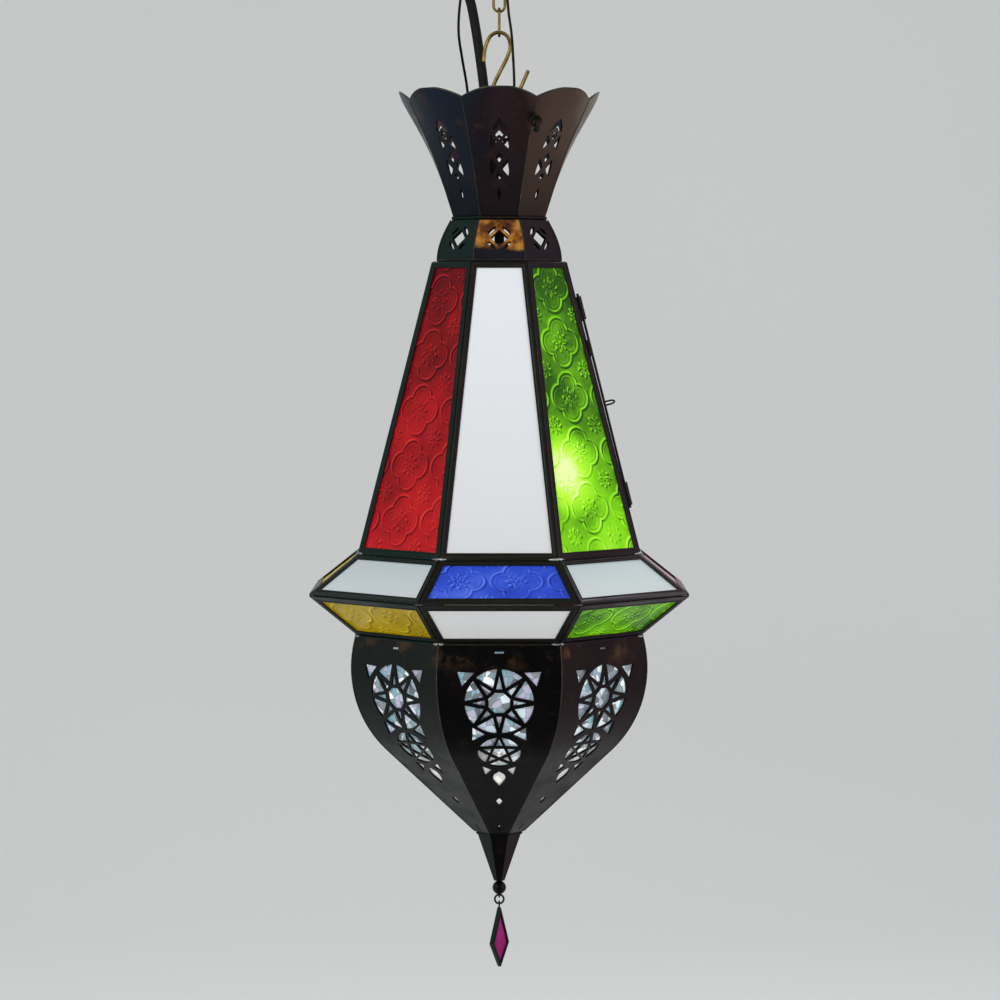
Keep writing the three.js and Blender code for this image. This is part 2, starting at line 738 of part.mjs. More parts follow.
function crown() {
  const shares = [0, 0.52, 0.8, 1];
  const base = SEAT;
  const lifted = (ring) => ring.map(([x, y, z]) => [x, y, Math.max(z, base)]);
  const outer = shares.map((share) => lifted(crownRing(share, 0)));
  const inner = shares.map((share) => lifted(crownRing(share, CROWN_WALL * 1.1))).reverse();
  const petals = solid(skin([...outer, ...inner]));
  const far = CROWN_MOUTH_FLAT + PETAL_BOW + 10;
  const openings = openingsThrough([scallop(), ...petalOpenings()], CROWN_BASE_FLAT / 2, far);
  const pierced = cutEachFace(petals, openings).translate([0, 0, crownBaseZ]);
  return cut(pierced, rodHoles());
}

// Collar

// The collar swells from the crown's base to its foot like a quarter of an ellipse.
function collarFlat(share, inset) {
  const swell = COLLAR_FOOT_FLAT - CROWN_BASE_FLAT - CROWN_WALL;
  return CROWN_BASE_FLAT + CROWN_WALL - inset + swell * Math.sin((share * Math.PI) / 2);
}

// A lozenge, with a lens-shaped slot along each of its sides.
function collarOpenings() {
  const [half, tall] = [COLLAR_LOZENGE_WIDTH / 2, COLLAR_LOZENGE_HEIGHT / 2];
  const side = Math.hypot(half, tall);
  const slot = Array.from({ length: 6 }, (_, i) => {
    const turn = (i * Math.PI) / 3;
    const along = (Math.cos(turn) * COLLAR_SLOT_LENGTH) / (2 * side);
    const out = (COLLAR_BAR + ((1 + Math.sin(turn)) * COLLAR_SLOT_WIDTH) / 2) / side;
    return [half * (0.5 + along) + tall * out, tall * (0.5 - along) + half * out];
  });
  const opposite = slot.map(([x, z]) => [-x, -z]);
  const lozenge = [[0, tall], [-half, 0], [0, -tall], [half, 0]];
  const outlines = [lozenge, slot, opposite, mirrored(slot), mirrored(opposite)];
  return outlines.map((outline) => outline.map(([x, z]) => [x, z + COLLAR_MOTIF_HEIGHT]));
}

function collar() {
  const shares = [0.04, 0.42, 1];
  const top = COLLAR_HEIGHT;
  const foot = SEAT;
  const z = (share) => foot + (top - foot) * (1 - share);
  const outer = shares.map((share) => [collarFlat(share, 0), z(share)]);
  const inner = shares.map((share) => [collarFlat(share, COLLAR_WALL), z(share)]);
  inner[0][1] -= COLLAR_WALL;
  const lip = [
    [CROWN_BASE_FLAT - CROWN_WALL - 2, z(shares[0]) - COLLAR_WALL],
    [CROWN_BASE_FLAT - CROWN_WALL - 2, z(shares[0])],
  ];
  const shell = solid(faceted([...outer.reverse(), ...lip.reverse(), ...inner]));
  const openings = openingsThrough(collarOpenings(), CROWN_BASE_FLAT - 2, COLLAR_FOOT_FLAT + 5);
  return cutEachFace(shell, openings).translate([0, 0, bodyTopZ]);
}

// Body, door and belts

const beltFootZ = bowlTopZ + SEAT;
const bodyRing = ringOfFaces(
  BODY_TOP_FLAT, bodyTopZ, BODY_FOOT_FLAT, bodyFootZ + SEAT, CAME_WIDTH, CAME_WIDTH,
);
const upperBeltRing = ringOfFaces(
  BODY_FOOT_FLAT, bodyFootZ, RIM_FLAT, rimZ + SEAT, CAME_WIDTH, RIM_CAME_WIDTH,
);
const lowerBeltRing = ringOfFaces(
  RIM_FLAT, rimZ, LOWER_BELT_FOOT_FLAT, beltFootZ, RIM_CAME_WIDTH, CAME_WIDTH,
);

const hingeLine = cornerLine(bodyRing, DOOR_FACE);
const freeLine = cornerLine(bodyRing, DOOR_FACE - 1);
const hingeHeights = [0.14, 0.8].map((share) => share * bodyRing.length);

// The frame of a hinge leaf: x from the corner into the face, y out of the face, z up the corner.
function leafFrame(line, face, raised) {
  const normal = new THREE.Vector3().setFromMatrixColumn(faceFrame(bodyRing, face), 2);
  const inward = normal.clone().cross(line.along).normalize();
  const across = acrossFace(face);
  const middle = outOfFace(face).multiplyScalar(bodyRing.footFlat).addScaledVector(UP, bodyRing.footZ);
  const towards = middle.sub(line.foot);
  if (towards.dot(inward) < 0) inward.negate();
  const up = across.dot(inward) === 0 ? line.along : inward.clone().cross(normal);
  const start = up.dot(line.along) > 0 ? raised : raised + KNUCKLE_LENGTH;
  return new THREE.Matrix4()
    .makeBasis(inward, normal, up)
    .setPosition(line.foot.clone().addScaledVector(line.along, start));
}

// A leaf lies on its face and stands clear of the corner before it meets its knuckle.
function hingeLeaf(line, face, raised, length) {
  const shape = polygon([
    [LEAF_SEAT, -LEAF_SUNK],
    [HINGE_LEAF, -LEAF_SUNK],
    [HINGE_LEAF, LEAF_THICK],
    [-LEAF_PAST, LEAF_THICK],
    [-LEAF_PAST, LEAF_CLEAR],
    [LEAF_SEAT, LEAF_CLEAR],
  ]);
  return solid(prism(shape, 0, length).applyMatrix4(leafFrame(line, face, raised)));
}

// A rod about the hinge's own axis, which lies outside the corner.
function aboutHinge(radius, from, to, sides) {
  const { foot, along, across, normal } = hingeLine;
  const start = foot.clone().addScaledVector(normal, HINGE_OFFSET);
  const frame = new THREE.Matrix4().makeBasis(across, normal, along).setPosition(start);
  return solid(prism(disc(radius, sides), from, to).applyMatrix4(frame));
}

const knuckle = (from) => aboutHinge(HINGE_RADIUS, from, from + KNUCKLE_LENGTH, 10);
const pinBore = () => aboutHinge(HINGE_PIN / 2 + FIT, -5, bodyRing.length + 5, 10);

function bodyFrame() {
  const flange = solid(
    faceted([
      [BODY_FLANGE_FLAT, bodyTopZ - FLANGE_THICK],
      [BODY_TOP_FLAT - 1, bodyTopZ - FLANGE_THICK],
      [BODY_TOP_FLAT - 1, bodyTopZ],
      [BODY_FLANGE_FLAT, bodyTopZ],
    ]),
  );
  const leaded = cutEachFace(wall(bodyRing, CAME_WALL), paneCutters(bodyRing), seamGroove(bodyRing));
  const doorOpening = faceOutline(bodyRing, DOOR_SIDES, DOOR_ENDS, DOOR_ENDS);
  const doorway = onFace(bodyRing, DOOR_FACE, prism(doorOpening, -(CAME_WALL + 3), HINGE_OFFSET));
  const shell = cut(leaded, solid(doorway));
  const halves = hingeHeights.flatMap((height) => [
    hingeLeaf(hingeLine, DOOR_FACE + 1, height + KNUCKLE_LENGTH + FIT, KNUCKLE_LENGTH),
    knuckle(height + KNUCKLE_LENGTH + FIT),
  ]);
  return cut(joined(shell, flange, ...halves), pinBore());
}

function doorOutline(inset) {
  const ends = inset + DOOR_ENDS + DOOR_GAP;
  return faceOutline(bodyRing, inset + DOOR_SIDES + DOOR_GAP, ends, ends);
}

function doorFrame() {
  const blank = prism(doorOutline(0), -CAME_WALL, 0);
  const window = prism(doorOutline(CAME_WIDTH), -(CAME_WALL + 1), 1);
  const inset = CAME_WIDTH - GLASS_LAP - FIT;
  const rebate = prism(doorOutline(inset), -(CAME_WALL + 1), -CAME_LIP);
  const [plate, opening, step] = [blank, window, rebate].map((g) => solid(onFace(bodyRing, DOOR_FACE, g)));
  const catchPlate = hingeLeaf(freeLine, DOOR_FACE, bodyRing.length * 0.68, CATCH_LENGTH);
  const halves = hingeHeights.flatMap((height) => [
    hingeLeaf(hingeLine, DOOR_FACE, height, KNUCKLE_LENGTH),
    knuckle(height),
  ]);
  const frame = cut(plate, opening, step);
  return cut(joined(frame, catchPlate, ...halves), pinBore());
}

function doorPane() {
  const front = -(CAME_LIP + SEAT);
  const shape = doorOutline(CAME_WIDTH - GLASS_LAP);
  return solid(onFace(bodyRing, DOOR_FACE, prism(shape, front - GLASS, front)));
}

function hingePin() {
  const from = hingeHeights[0] - 2;
  const to = hingeHeights[1] + 2 * KNUCKLE_LENGTH + FIT + 2;
  return aboutHinge(HINGE_PIN / 2, from, to, 8);
}

// A hairpin of wire that stands out of the door's free edge.
function doorPull() {
  const down = -bodyRing.length * 0.49;
  const half = (BODY_TOP_FLAT + (BODY_FOOT_FLAT - BODY_TOP_FLAT) * 0.49) * HALF_FACE;
  const x = -(half - CAME_WIDTH / 2 - DOOR_GAP - DOOR_SIDES);
  const reach = PULL_REACH - PULL_BEND;
  const hairpin = [
    [x, down - PULL_BEND, SEAT],
    [x, down - PULL_BEND, reach * 0.6],
    [x, down - PULL_BEND * 0.8, reach],
    [x, down, PULL_REACH],
    [x, down + PULL_BEND * 0.8, reach],
    [x, down + PULL_BEND, reach * 0.6],
    [x, down + PULL_BEND, SEAT],
  ];
  return solid(onFace(bodyRing, DOOR_FACE, wire(hairpin, PULL_WIRE, 5, 10)));
}

const beltFrame = (ring) => cutEachFace(wall(ring, CAME_WALL), paneCutters(ring));

// Pierced bowl and its glass liner

// The length down the bowl's face from its rim, and the height and distance to the flat that it gives.
const rimAngle = -Math.asin(BOWL_EQUATOR_DROP / BOWL_CURVE);
const coneStart = BOWL_CURVE * (Math.PI / 4 - rimAngle);

function onBowl(down) {
  const past = Math.max(down - coneStart, 0) * DIAGONAL;
  const turn = rimAngle + Math.min(down, coneStart) / BOWL_CURVE;
  return {
    z: bowlEquatorZ - BOWL_CURVE * Math.sin(turn) - past,
    flat: bowlCurveFlat + BOWL_CURVE * Math.cos(turn) - past,
  };
}

const bowlLength = coneStart + (coneStartFlat - BOWL_TIP_FLAT) / DIAGONAL;

// The openings of one face of the bowl: an eight-pointed star over a five-pointed one, with small fillers.
function bowlOpenings() {
  const cornerPiece = [[-27.6, 18], [-24.6, 27.6], [-16.4, 18.6]];
  const sidePiece = [[-17.6, 56.6], [-17.8, 67.8], [-8.8, 62.3]];
  const footPiece = [[-11.2, 93], [-9.2, 103], [-4.8, 96.6]];
  const kite = [[0, 98.4], [-4.2, 104.6], [0, 115.2], [4.2, 104.6]];
  const lozenge = [[0, 127.8], [-2.3, 132], [0, 136.4], [2.3, 132]];
  const pairs = [cornerPiece, sidePiece, footPiece].flatMap((piece) => [piece, mirrored(piece)]);
  const stars = [...star(39, 22.8, 8, 8.9, STAR_STRAP), ...star(78.9, 14.2, 5, 6.4, SMALL_STAR_STRAP)];
  const flat = [...stars, ...pairs, kite, lozenge];
  return flat.map((outline) => outline.map(([x, down]) => [x, onBowl(down).z]));
}

// The bowl's rings: its rim, three lines round the hip, and its tip.
const bowlStations = [SEAT, 39, 63, 94, bowlLength].map(onBowl);

// A facet band's profile drawn in square to each band.
function drawnInProfile(profile, distance) {
  return profile.map(([flat, z], i) => {
    const [beforeFlat, beforeZ] = profile[Math.max(i - 1, 0)];
    const [afterFlat, afterZ] = profile[Math.min(i + 1, profile.length - 1)];
    const slant = Math.hypot(afterFlat - beforeFlat, afterZ - beforeZ) / Math.abs(afterZ - beforeZ);
    return [flat - distance * slant, z];
  });
}

function piercedBowl() {
  const outer = bowlStations.map(({ flat, z }) => [flat, z]);
  const inner = drawnInProfile(outer, BOWL_WALL);
  const rim = [
    [outer[0][0] - BOWL_RIM_WIDTH, outer[0][1]],
    [outer[0][0] - BOWL_RIM_WIDTH, outer[0][1] - BOWL_WALL],
    [inner[0][0], outer[0][1] - BOWL_WALL],
  ];
  const shell = solid(faceted([...outer.reverse(), ...rim, ...inner.slice(1)]));
  return cutEachFace(shell, openingsThrough(bowlOpenings(), BOWL_TIP_FLAT, BOWL_FLAT + 10));
}

// The liner lies behind the bowl's wall, short of its rim and of its tip.
function bowlLiner() {
  const outside = bowlStations.map(({ flat, z }) => [flat, z]);
  const front = drawnInProfile(outside, BOWL_WALL + SEAT);
  const back = drawnInProfile(outside, BOWL_WALL + SEAT + LINER_GLASS);
  const between = (a, b, share) => [a[0] + (b[0] - a[0]) * share, a[1] + (b[1] - a[1]) * share];
  const topShare = LINER_TOP_DROP / (outside[0][1] - outside[1][1]);
  const [lastBend, tip] = front.slice(-2);
  const tipShare = (lastBend[0] - LINER_TIP_FLAT) / (lastBend[0] - tip[0]);
  const trimmed = (line) => [
    between(line[0], line[1], topShare),
    ...line.slice(1, -1),
    between(line.at(-2), line.at(-1), tipShare),
  ];
  return solid(faceted([...trimmed(front), ...trimmed(back).reverse()]));
}

// Finial and drop

function finialCone() {
  const top = bowlTipZ - SEAT;
  const tip = finialTipZ;
  const inset = FINIAL_WALL;
  const floor = tip + FINIAL_WALL * 4;
  return solid(
    faceted([
      [0, tip],
      [FINIAL_TIP_FLAT, tip],
      [FINIAL_TOP_FLAT, top],
      [FINIAL_TOP_FLAT - inset, top],
      [FINIAL_TIP_FLAT, floor],
      [0, floor],
    ]),
  );
}

// An eye is a flat lug in the YZ plane with its hole along X.
function eyeLug(z, reach) {
  const lug = prism(disc(EYE_RADIUS, 10), -EYE_THICK / 2, EYE_THICK / 2);
  const half = EYE_RADIUS * 0.7;
  const neck = prism(
    polygon([[-half, 0], [half, 0], [half, reach], [-half, reach]]),
    -EYE_THICK / 2,
    EYE_THICK / 2,
  );
  const place = new THREE.Matrix4()
    .makeBasis(new THREE.Vector3(0, 1, 0), UP, new THREE.Vector3(1, 0, 0))
    .setPosition(0, 0, z);
  return joined(solid(lug.applyMatrix4(place)), solid(neck.applyMatrix4(place)));
}

function eyeHole(z) {
  const hole = prism(disc(EYE_HOLE_RADIUS, 8), -BALL_RADIUS - 1, BALL_RADIUS + 1);
  return solid(hole.rotateY(Math.PI / 2).translate(0, 0, z));
}

function finialBall() {
  const arc = Array.from({ length: 7 }, (_, i) => {
    const turn = (i / 6 - 0.5) * Math.PI;
    return [i % 6 === 0 ? 0 : BALL_RADIUS * Math.cos(turn), ballZ + BALL_RADIUS * Math.sin(turn)];
  });
  return cut(joined(solid(revolved(arc, 12)), eyeLug(eyeZ, BALL_RADIUS / 2)), eyeHole(eyeZ));
}

function dropRing() {
  return solid(wireLoop(loopLine(RING_RADIUS, 0, 7), RING_WIRE, 6).translate(0, 0, ringZ));
}

function kite(inset) {
  const outline = [
    [0, 0],
    [-DROP_HALF_WIDTH, -DROP_WIDEST],
    [0, -DROP_HEIGHT],
    [DROP_HALF_WIDTH, -DROP_WIDEST],
  ];
  return inset > 0 ? drawnIn(outline, inset) : outline;
}

function dropPlate(inset, thick) {
  const plate = prism(polygon(kite(inset)), -thick / 2, thick / 2).rotateX(Math.PI / 2);
  return plate.rotateZ(DROP_TURN).translate(0, 0, dropTopZ);
}

function dropFrame() {
  const window = solid(dropPlate(DROP_CAME, DROP_THICK * 2));
  const frame = cut(solid(dropPlate(0, DROP_THICK)), window);
  return cut(joined(frame, eyeLug(dropEyeZ, -EYE_RADIUS)), eyeHole(dropEyeZ));
}

const dropGlass = () => solid(dropPlate(DROP_CAME + FIT, DROP_THICK * 0.6));

// Lampholder and lamp

const bridgeTopZ = bodyTopZ - FLANGE_THICK - SEAT;
const bridgeFootZ = bridgeTopZ - BRIDGE_THICK;
const capTopZ = bridgeFootZ - NIPPLE_DROP;
const capFootZ = capTopZ - HOLDER_CAP_HEIGHT;
const skirtTopZ = capFootZ - SEAT;
const skirtFootZ = skirtTopZ - HOLDER_SKIRT_HEIGHT;
const coreTopZ = skirtTopZ - HOLDER_WALL - SEAT;
const lampTopZ = coreTopZ - 5;
const screwFootZ = lampTopZ - SCREW_HEIGHT;
const gripFootZ = bridgeTopZ + SEAT;
const holderGripTopZ = gripFootZ + GRIP_LENGTH + GRIP_ON_NIPPLE;

function holderBridge() {
  const level = (CAME_WALL * bodyRing.length) / (bodyRing.topZ - bodyRing.footZ);
  const half = BODY_TOP_FLAT - level - 1;
  const strap = prism(
    polygon([
      [-BRIDGE_WIDTH / 2, -half],
      [BRIDGE_WIDTH / 2, -half],
      [BRIDGE_WIDTH / 2, half],
      [-BRIDGE_WIDTH / 2, half],
    ]),
    bridgeFootZ,
    bridgeTopZ,
  );
  return cut(solid(strap), solid(cylinder(NIPPLE_RADIUS + FIT, bridgeFootZ - 1, bridgeTopZ + 1, 16)));
}

function holderNipple() {
  const top = gripFootZ + NIPPLE_SCREWED_IN;
  const foot = capTopZ - NIPPLE_SCREWED_IN;
  return solid(
    revolved([[NIPPLE_BORE, foot], [NIPPLE_RADIUS, foot], [NIPPLE_RADIUS, top], [NIPPLE_BORE, top]], 16),
  );
}

// The cable's grip is screwed on the nipple, and clamps the bridge from above.
function holderCordGrip() {
  const top = holderGripTopZ;
  const socket = NIPPLE_RADIUS + FIT;
  const socketTop = gripFootZ + NIPPLE_SCREWED_IN + FIT;
  const bore = CABLE_DIAMETER / 2 + FIT;
  return solid(
    revolved(
      [
        [socket, gripFootZ],
        [GRIP_RADIUS + 1, gripFootZ],
        [GRIP_RADIUS + 1, top - 4],
        [GRIP_RADIUS - 1.5, top],
        [bore, top],
        [bore, socketTop],
        [socket, socketTop],
      ],
      16,
    ),
  );
}

function holderCap() {
  const bore = NIPPLE_RADIUS + FIT;
  return solid(
    revolved(
      [
        [bore, capTopZ],
        [bore + 4, capTopZ],
        [HOLDER_RADIUS - 3, capTopZ - 8],
        [HOLDER_RADIUS, capTopZ - 14],
        [HOLDER_RADIUS, capFootZ],
        [HOLDER_RADIUS - HOLDER_WALL, capFootZ],
        [HOLDER_RADIUS - HOLDER_WALL, capTopZ - 14],
        [HOLDER_RADIUS - 4.8, capTopZ - 9.6],
        [bore, capTopZ - 3],
      ],
      20,
    ),
  );
}

function holderSkirt() {
  const inside = HOLDER_RADIUS - HOLDER_WALL;
  return solid(
    revolved(
      [
        [inside - 3, skirtTopZ],
        [HOLDER_RADIUS, skirtTopZ],
        [HOLDER_RADIUS, skirtFootZ + 4],
        [HOLDER_RADIUS + 1.2, skirtFootZ],
        [inside, skirtFootZ],
        [inside, skirtTopZ - HOLDER_WALL],
        [inside - 3, skirtTopZ - HOLDER_WALL],
      ],
      20,
    ),
  );
}

// The insulating core, with the screw shell that takes the lamp.
function holderCore() {
  const outside = HOLDER_RADIUS - HOLDER_WALL - FIT;
  const inside = SCREW_RADIUS + FIT + 0.2;
  const foot = screwFootZ + 3;
  return solid(
    revolved(
      [
        [0, coreTopZ],
        [outside, coreTopZ],
        [outside, foot],
        [inside, foot],
        [inside, lampTopZ + SEAT],
        [0, lampTopZ + SEAT],
      ],
      20,
    ),
  );
}

function lampCap() {
  return solid(
    revolved(
      [
        [0, lampTopZ],
        [4.5, lampTopZ],
        [SCREW_RADIUS - 3, lampTopZ - 3],
        [SCREW_RADIUS, lampTopZ - 5],
        [SCREW_RADIUS, screwFootZ],
        [0, screwFootZ],
      ],
      16,
    ),
  );
}

// The lamp's glass swells from its neck to a ball.
function lampGlass() {
  const top = screwFootZ - SEAT;
  const centre = top - LAMP_LENGTH + LAMP_RADIUS;
  const round = [50, 20, -10, -40, -65].map((degrees) => {
    const turn = THREE.MathUtils.degToRad(degrees);
    return [LAMP_RADIUS * Math.cos(turn), centre + LAMP_RADIUS * Math.sin(turn)];
  });
  const neck = [[0, top], [SCREW_RADIUS, top], [SCREW_RADIUS + 1.6, top - 14]];
  return solid(revolved([...neck, ...round, [0, centre - LAMP_RADIUS]], 16));
}

// Materials

const finish = (color, roughness, metalness, opacity = 1) =>
  new THREE.MeshStandardMaterial({ color, roughness, metalness, opacity, transparent: opacity < 1 });
const tinted = (color) => finish(color, 0.15, 0, 0.75);
const darkMetal = finish(0x1c1b20, 0.38, 0.85);
const brass = finish(0xb08d3e, 0.35, 1);
const steel = finish(0x8d8f93, 0.35, 1);
const rosePaint = finish(0x2a2a2c, 0.5, 0.6);
const blackPlastic = finish(0x101010, 0.5, 0);
const ceramic = finish(0xe9e6df, 0.4, 0);
const opal = tinted(0xf2f4f4);
const red = tinted(0xb3151c);
const green = tinted(0x1f7a3a);
const blue = tinted(0x2335a8);
const amber = tinted(0xe8b322);
const frosted = tinted(0xcfdde2);
const rose = tinted(0xd98aa8);
const clear = tinted(0xdfe4ea);
const magenta = tinted(0xc02a86);

// Glass colours, face by face from the front towards +X
const BODY_GLASS = [opal, green, opal, blue, opal, amber, opal, red];
const UPPER_BELT_GLASS = [blue, frosted, rose, frosted, green, frosted, amber, frosted];
const LOWER_BELT_GLASS = [opal, green, opal, red, opal, blue, opal, amber];

// Assembly

const lampholderRoute = [...CABLE_ROUTE, [0, 0, holderGripTopZ + 6], [0, 0, holderGripTopZ - CABLE_IN_GRIP]];

function piece(name, made, material) {
  const mesh = new THREE.Mesh(geometryOf(made), material);
  mesh.name = name;
  return mesh;
}

function panes(name, ring, colours) {
  return faceNumbers
    .filter((face) => ring !== bodyRing || face !== DOOR_FACE)
    .map((face) => piece(`${name}_${face * 45}`, solid(pane(ring, face)), colours[face]));
}

function group(...meshes) {
  const made = new THREE.Group();
  made.add(...meshes.flat());
  return made;
}

const ceilingFitting = group(
  piece("ceiling_plate", ceilingPlate(), steel),
  piece("ceiling_rose", ceilingRose(), rosePaint),
  piece("ceiling_hook", ceilingHook(), brass),
  piece("hook_nut", hookNut(), brass),
  piece("rose_cord_grip", cordGrip(roseGripTopZ, 3).translate([ROSE_GRIP_X, ROSE_GRIP_Y, 0]), blackPlastic),
);

const suspension = group(
  piece("chain_link_upper", chainLink(upperLinkTopZ, false), brass),
  piece("chain_link_lower", chainLink(lowerLinkTopZ, true), brass),
  piece("s_hook", sHook(), brass),
  piece("power_cord", solid(wire(lampholderRoute, CABLE_DIAMETER, 10, 16)), blackPlastic),
  piece("safety_wire", solid(wire(SAFETY_ROUTE, SAFETY_WIRE, 6, 40)), darkMetal),
);

const lantern = group(
  piece("cross_rod", crossRod(), darkMetal),
  piece("crown", crown(), darkMetal),
  piece("collar", collar(), darkMetal),
  piece("body_frame", bodyFrame(), darkMetal),
  panes("body_glass", bodyRing, BODY_GLASS),
  piece("upper_belt_frame", beltFrame(upperBeltRing), darkMetal),
  panes("upper_belt_glass", upperBeltRing, UPPER_BELT_GLASS),
  piece("lower_belt_frame", beltFrame(lowerBeltRing), darkMetal),
  panes("lower_belt_glass", lowerBeltRing, LOWER_BELT_GLASS),
  piece("pierced_bowl", piercedBowl(), darkMetal),
  piece("bowl_liner_glass", bowlLiner(), clear),
  piece("finial_cone", finialCone(), darkMetal),
  piece("finial_ball", finialBall(), darkMetal),
);

const door = group(
  piece("door_frame", doorFrame(), darkMetal),
  piece("door_glass", doorPane(), opal),
  piece("door_hinge_pin", hingePin(), darkMetal),
  piece("door_pull", doorPull(), steel),
);

const drop = group(
  piece("drop_ring", dropRing(), darkMetal),
  piece("drop_frame", dropFrame(), darkMetal),
  piece("drop_glass", dropGlass(), magenta),
);

const lampholder = group(
  piece("holder_bridge", holderBridge(), darkMetal),
  piece("holder_nipple", holderNipple(), steel),
  piece("holder_cord_grip", holderCordGrip(), blackPlastic),
  piece("holder_cap", holderCap(), blackPlastic),
  piece("holder_skirt", holderSkirt(), blackPlastic),
  piece("holder_core", holderCore(), ceramic),
  piece("lamp_cap", lampCap(), steel),
  piece("lamp_glass", lampGlass(), opal),
);

export default group(ceilingFitting, suspension, lantern, door, drop, lampholder);
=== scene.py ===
import math

import bmesh
import bpy
import numpy as np
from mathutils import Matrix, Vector
from mathutils.geometry import delaunay_2d_cdt

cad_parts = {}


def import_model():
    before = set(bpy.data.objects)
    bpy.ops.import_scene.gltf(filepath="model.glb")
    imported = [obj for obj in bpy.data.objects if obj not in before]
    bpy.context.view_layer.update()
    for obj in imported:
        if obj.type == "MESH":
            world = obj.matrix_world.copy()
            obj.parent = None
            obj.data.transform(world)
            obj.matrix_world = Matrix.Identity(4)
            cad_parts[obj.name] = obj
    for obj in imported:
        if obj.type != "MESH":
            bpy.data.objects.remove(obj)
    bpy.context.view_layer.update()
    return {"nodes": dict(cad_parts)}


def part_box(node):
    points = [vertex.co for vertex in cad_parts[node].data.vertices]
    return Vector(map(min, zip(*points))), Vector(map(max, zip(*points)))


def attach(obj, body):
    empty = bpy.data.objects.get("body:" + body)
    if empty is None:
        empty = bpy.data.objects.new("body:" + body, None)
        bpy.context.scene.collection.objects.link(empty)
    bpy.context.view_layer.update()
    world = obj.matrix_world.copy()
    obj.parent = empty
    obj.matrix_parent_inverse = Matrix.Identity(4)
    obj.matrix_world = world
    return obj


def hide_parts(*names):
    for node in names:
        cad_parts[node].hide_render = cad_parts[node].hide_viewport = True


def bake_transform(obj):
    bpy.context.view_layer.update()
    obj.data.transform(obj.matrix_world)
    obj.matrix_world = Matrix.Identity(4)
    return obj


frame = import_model()

# Lengths in this script are millimetres of the CAD model, and mesh() turns them into metres.
MM = 0.001
EIGHTH = math.pi / 4
HALF_FACE = math.tan(EIGHTH / 2)
CORNER = 1 / math.cos(EIGHTH / 2)
FACES = range(8)
CORNER_TURNS = [(face + 0.5) * EIGHTH for face in FACES]
DOOR_FACE = 2
SEAT = 0.3


def levels(node):
    """The lowest and highest z of a CAD node, in millimetres."""
    low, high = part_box(node)
    return low.z / MM, high.z / MM


# Camera: the photograph's view, level with the body's top and tilted down a little
CAMERA_DISTANCE = 2294.6
CAMERA_HEIGHT = -264.8
CAMERA_ASIDE = 0.5
CAMERA_TILT = 3.368
FOCAL_PIXELS = 3386.9
PICTURE_PIXELS = 1000
SENSOR = 36


def make_camera():
    camera = bpy.data.objects.new("camera", bpy.data.cameras.new("camera"))
    camera.data.sensor_width = SENSOR
    camera.data.lens = FOCAL_PIXELS / PICTURE_PIXELS * SENSOR
    camera.data.clip_start = 0.05
    camera.data.clip_end = 50
    camera.location = Vector((CAMERA_ASIDE, -CAMERA_DISTANCE, CAMERA_HEIGHT)) * MM
    camera.rotation_euler = (math.radians(90 - CAMERA_TILT), 0, 0)
    bpy.context.scene.collection.objects.link(camera)
    bpy.context.scene.camera = camera


make_camera()

# Meshes


def mesh(name, points, faces, outward=True):
    """A new object from points in millimetres."""
    data = bpy.data.meshes.new(name)
    data.from_pydata([tuple(MM * c for c in p) for p in points], [], [tuple(f) for f in faces])
    if outward:
        shape = bmesh.new()
        shape.from_mesh(data)
        bmesh.ops.recalc_face_normals(shape, faces=shape.faces)
        shape.to_mesh(data)
        shape.free()
    data.update()
    piece = bpy.data.objects.new(name, data)
    bpy.context.scene.collection.objects.link(piece)
    return piece


def shade(piece, material, sharp):
    """Gives a piece its material, and smooth shading up to an angle in degrees."""
    piece.data.materials.append(material)
    piece.data.shade_smooth()
    piece.data.set_sharp_from_angle(angle=math.radians(sharp))


def dress(name, part, finish, body="lamp", nodes=(), sharp=35):
    """A new piece in a finish, on the body that it moves with, for the nodes that it stands for."""
    piece = mesh(name, *part)
    material, slot = finish
    shade(piece, material, sharp)
    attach(piece, body)
    if nodes:
        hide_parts(*nodes)
    return piece


def merged(parts):
    """Several (points, faces) as one."""
    points, faces = [], []
    for more_points, more_faces in parts:
        start = len(points)
        points.extend(more_points)
        faces.extend(tuple(i + start for i in face) for face in more_faces)
    return points, faces


def turned(part, face):
    """A (points, faces) made for the front face, turned about the lamp's axis to another face."""
    points, faces = part
    c, s = math.cos(face * EIGHTH), math.sin(face * EIGHTH)
    return [(c * x - s * y, s * x + c * y, z) for x, y, z in points], faces


def all_round(part, faces=FACES):
    """A (points, faces) made for the front face, repeated on several."""
    return merged([turned(part, face) for face in faces])


def facing(turn, reach=1.0):
    """The (x, y) at a distance from the axis, turned from the front towards +X."""
    return reach * math.sin(turn), -reach * math.cos(turn)


def rings_to_skin(rings, closed=True, capped=False):
    """Faces through rings of as many points each."""
    count = len(rings[0])
    points = [p for ring in rings for p in ring]
    faces = []
    last = len(rings) if closed else len(rings) - 1
    for i in range(last):
        a, b = i * count, (i + 1) % len(rings) * count
        for j in range(count):
            k = (j + 1) % count
            faces.append((a + j, a + k, b + k, b + j))
    if capped:
        faces.append(tuple(range(count)))
        faces.append(tuple(range(len(points) - count, len(points)))[::-1])
    return points, faces


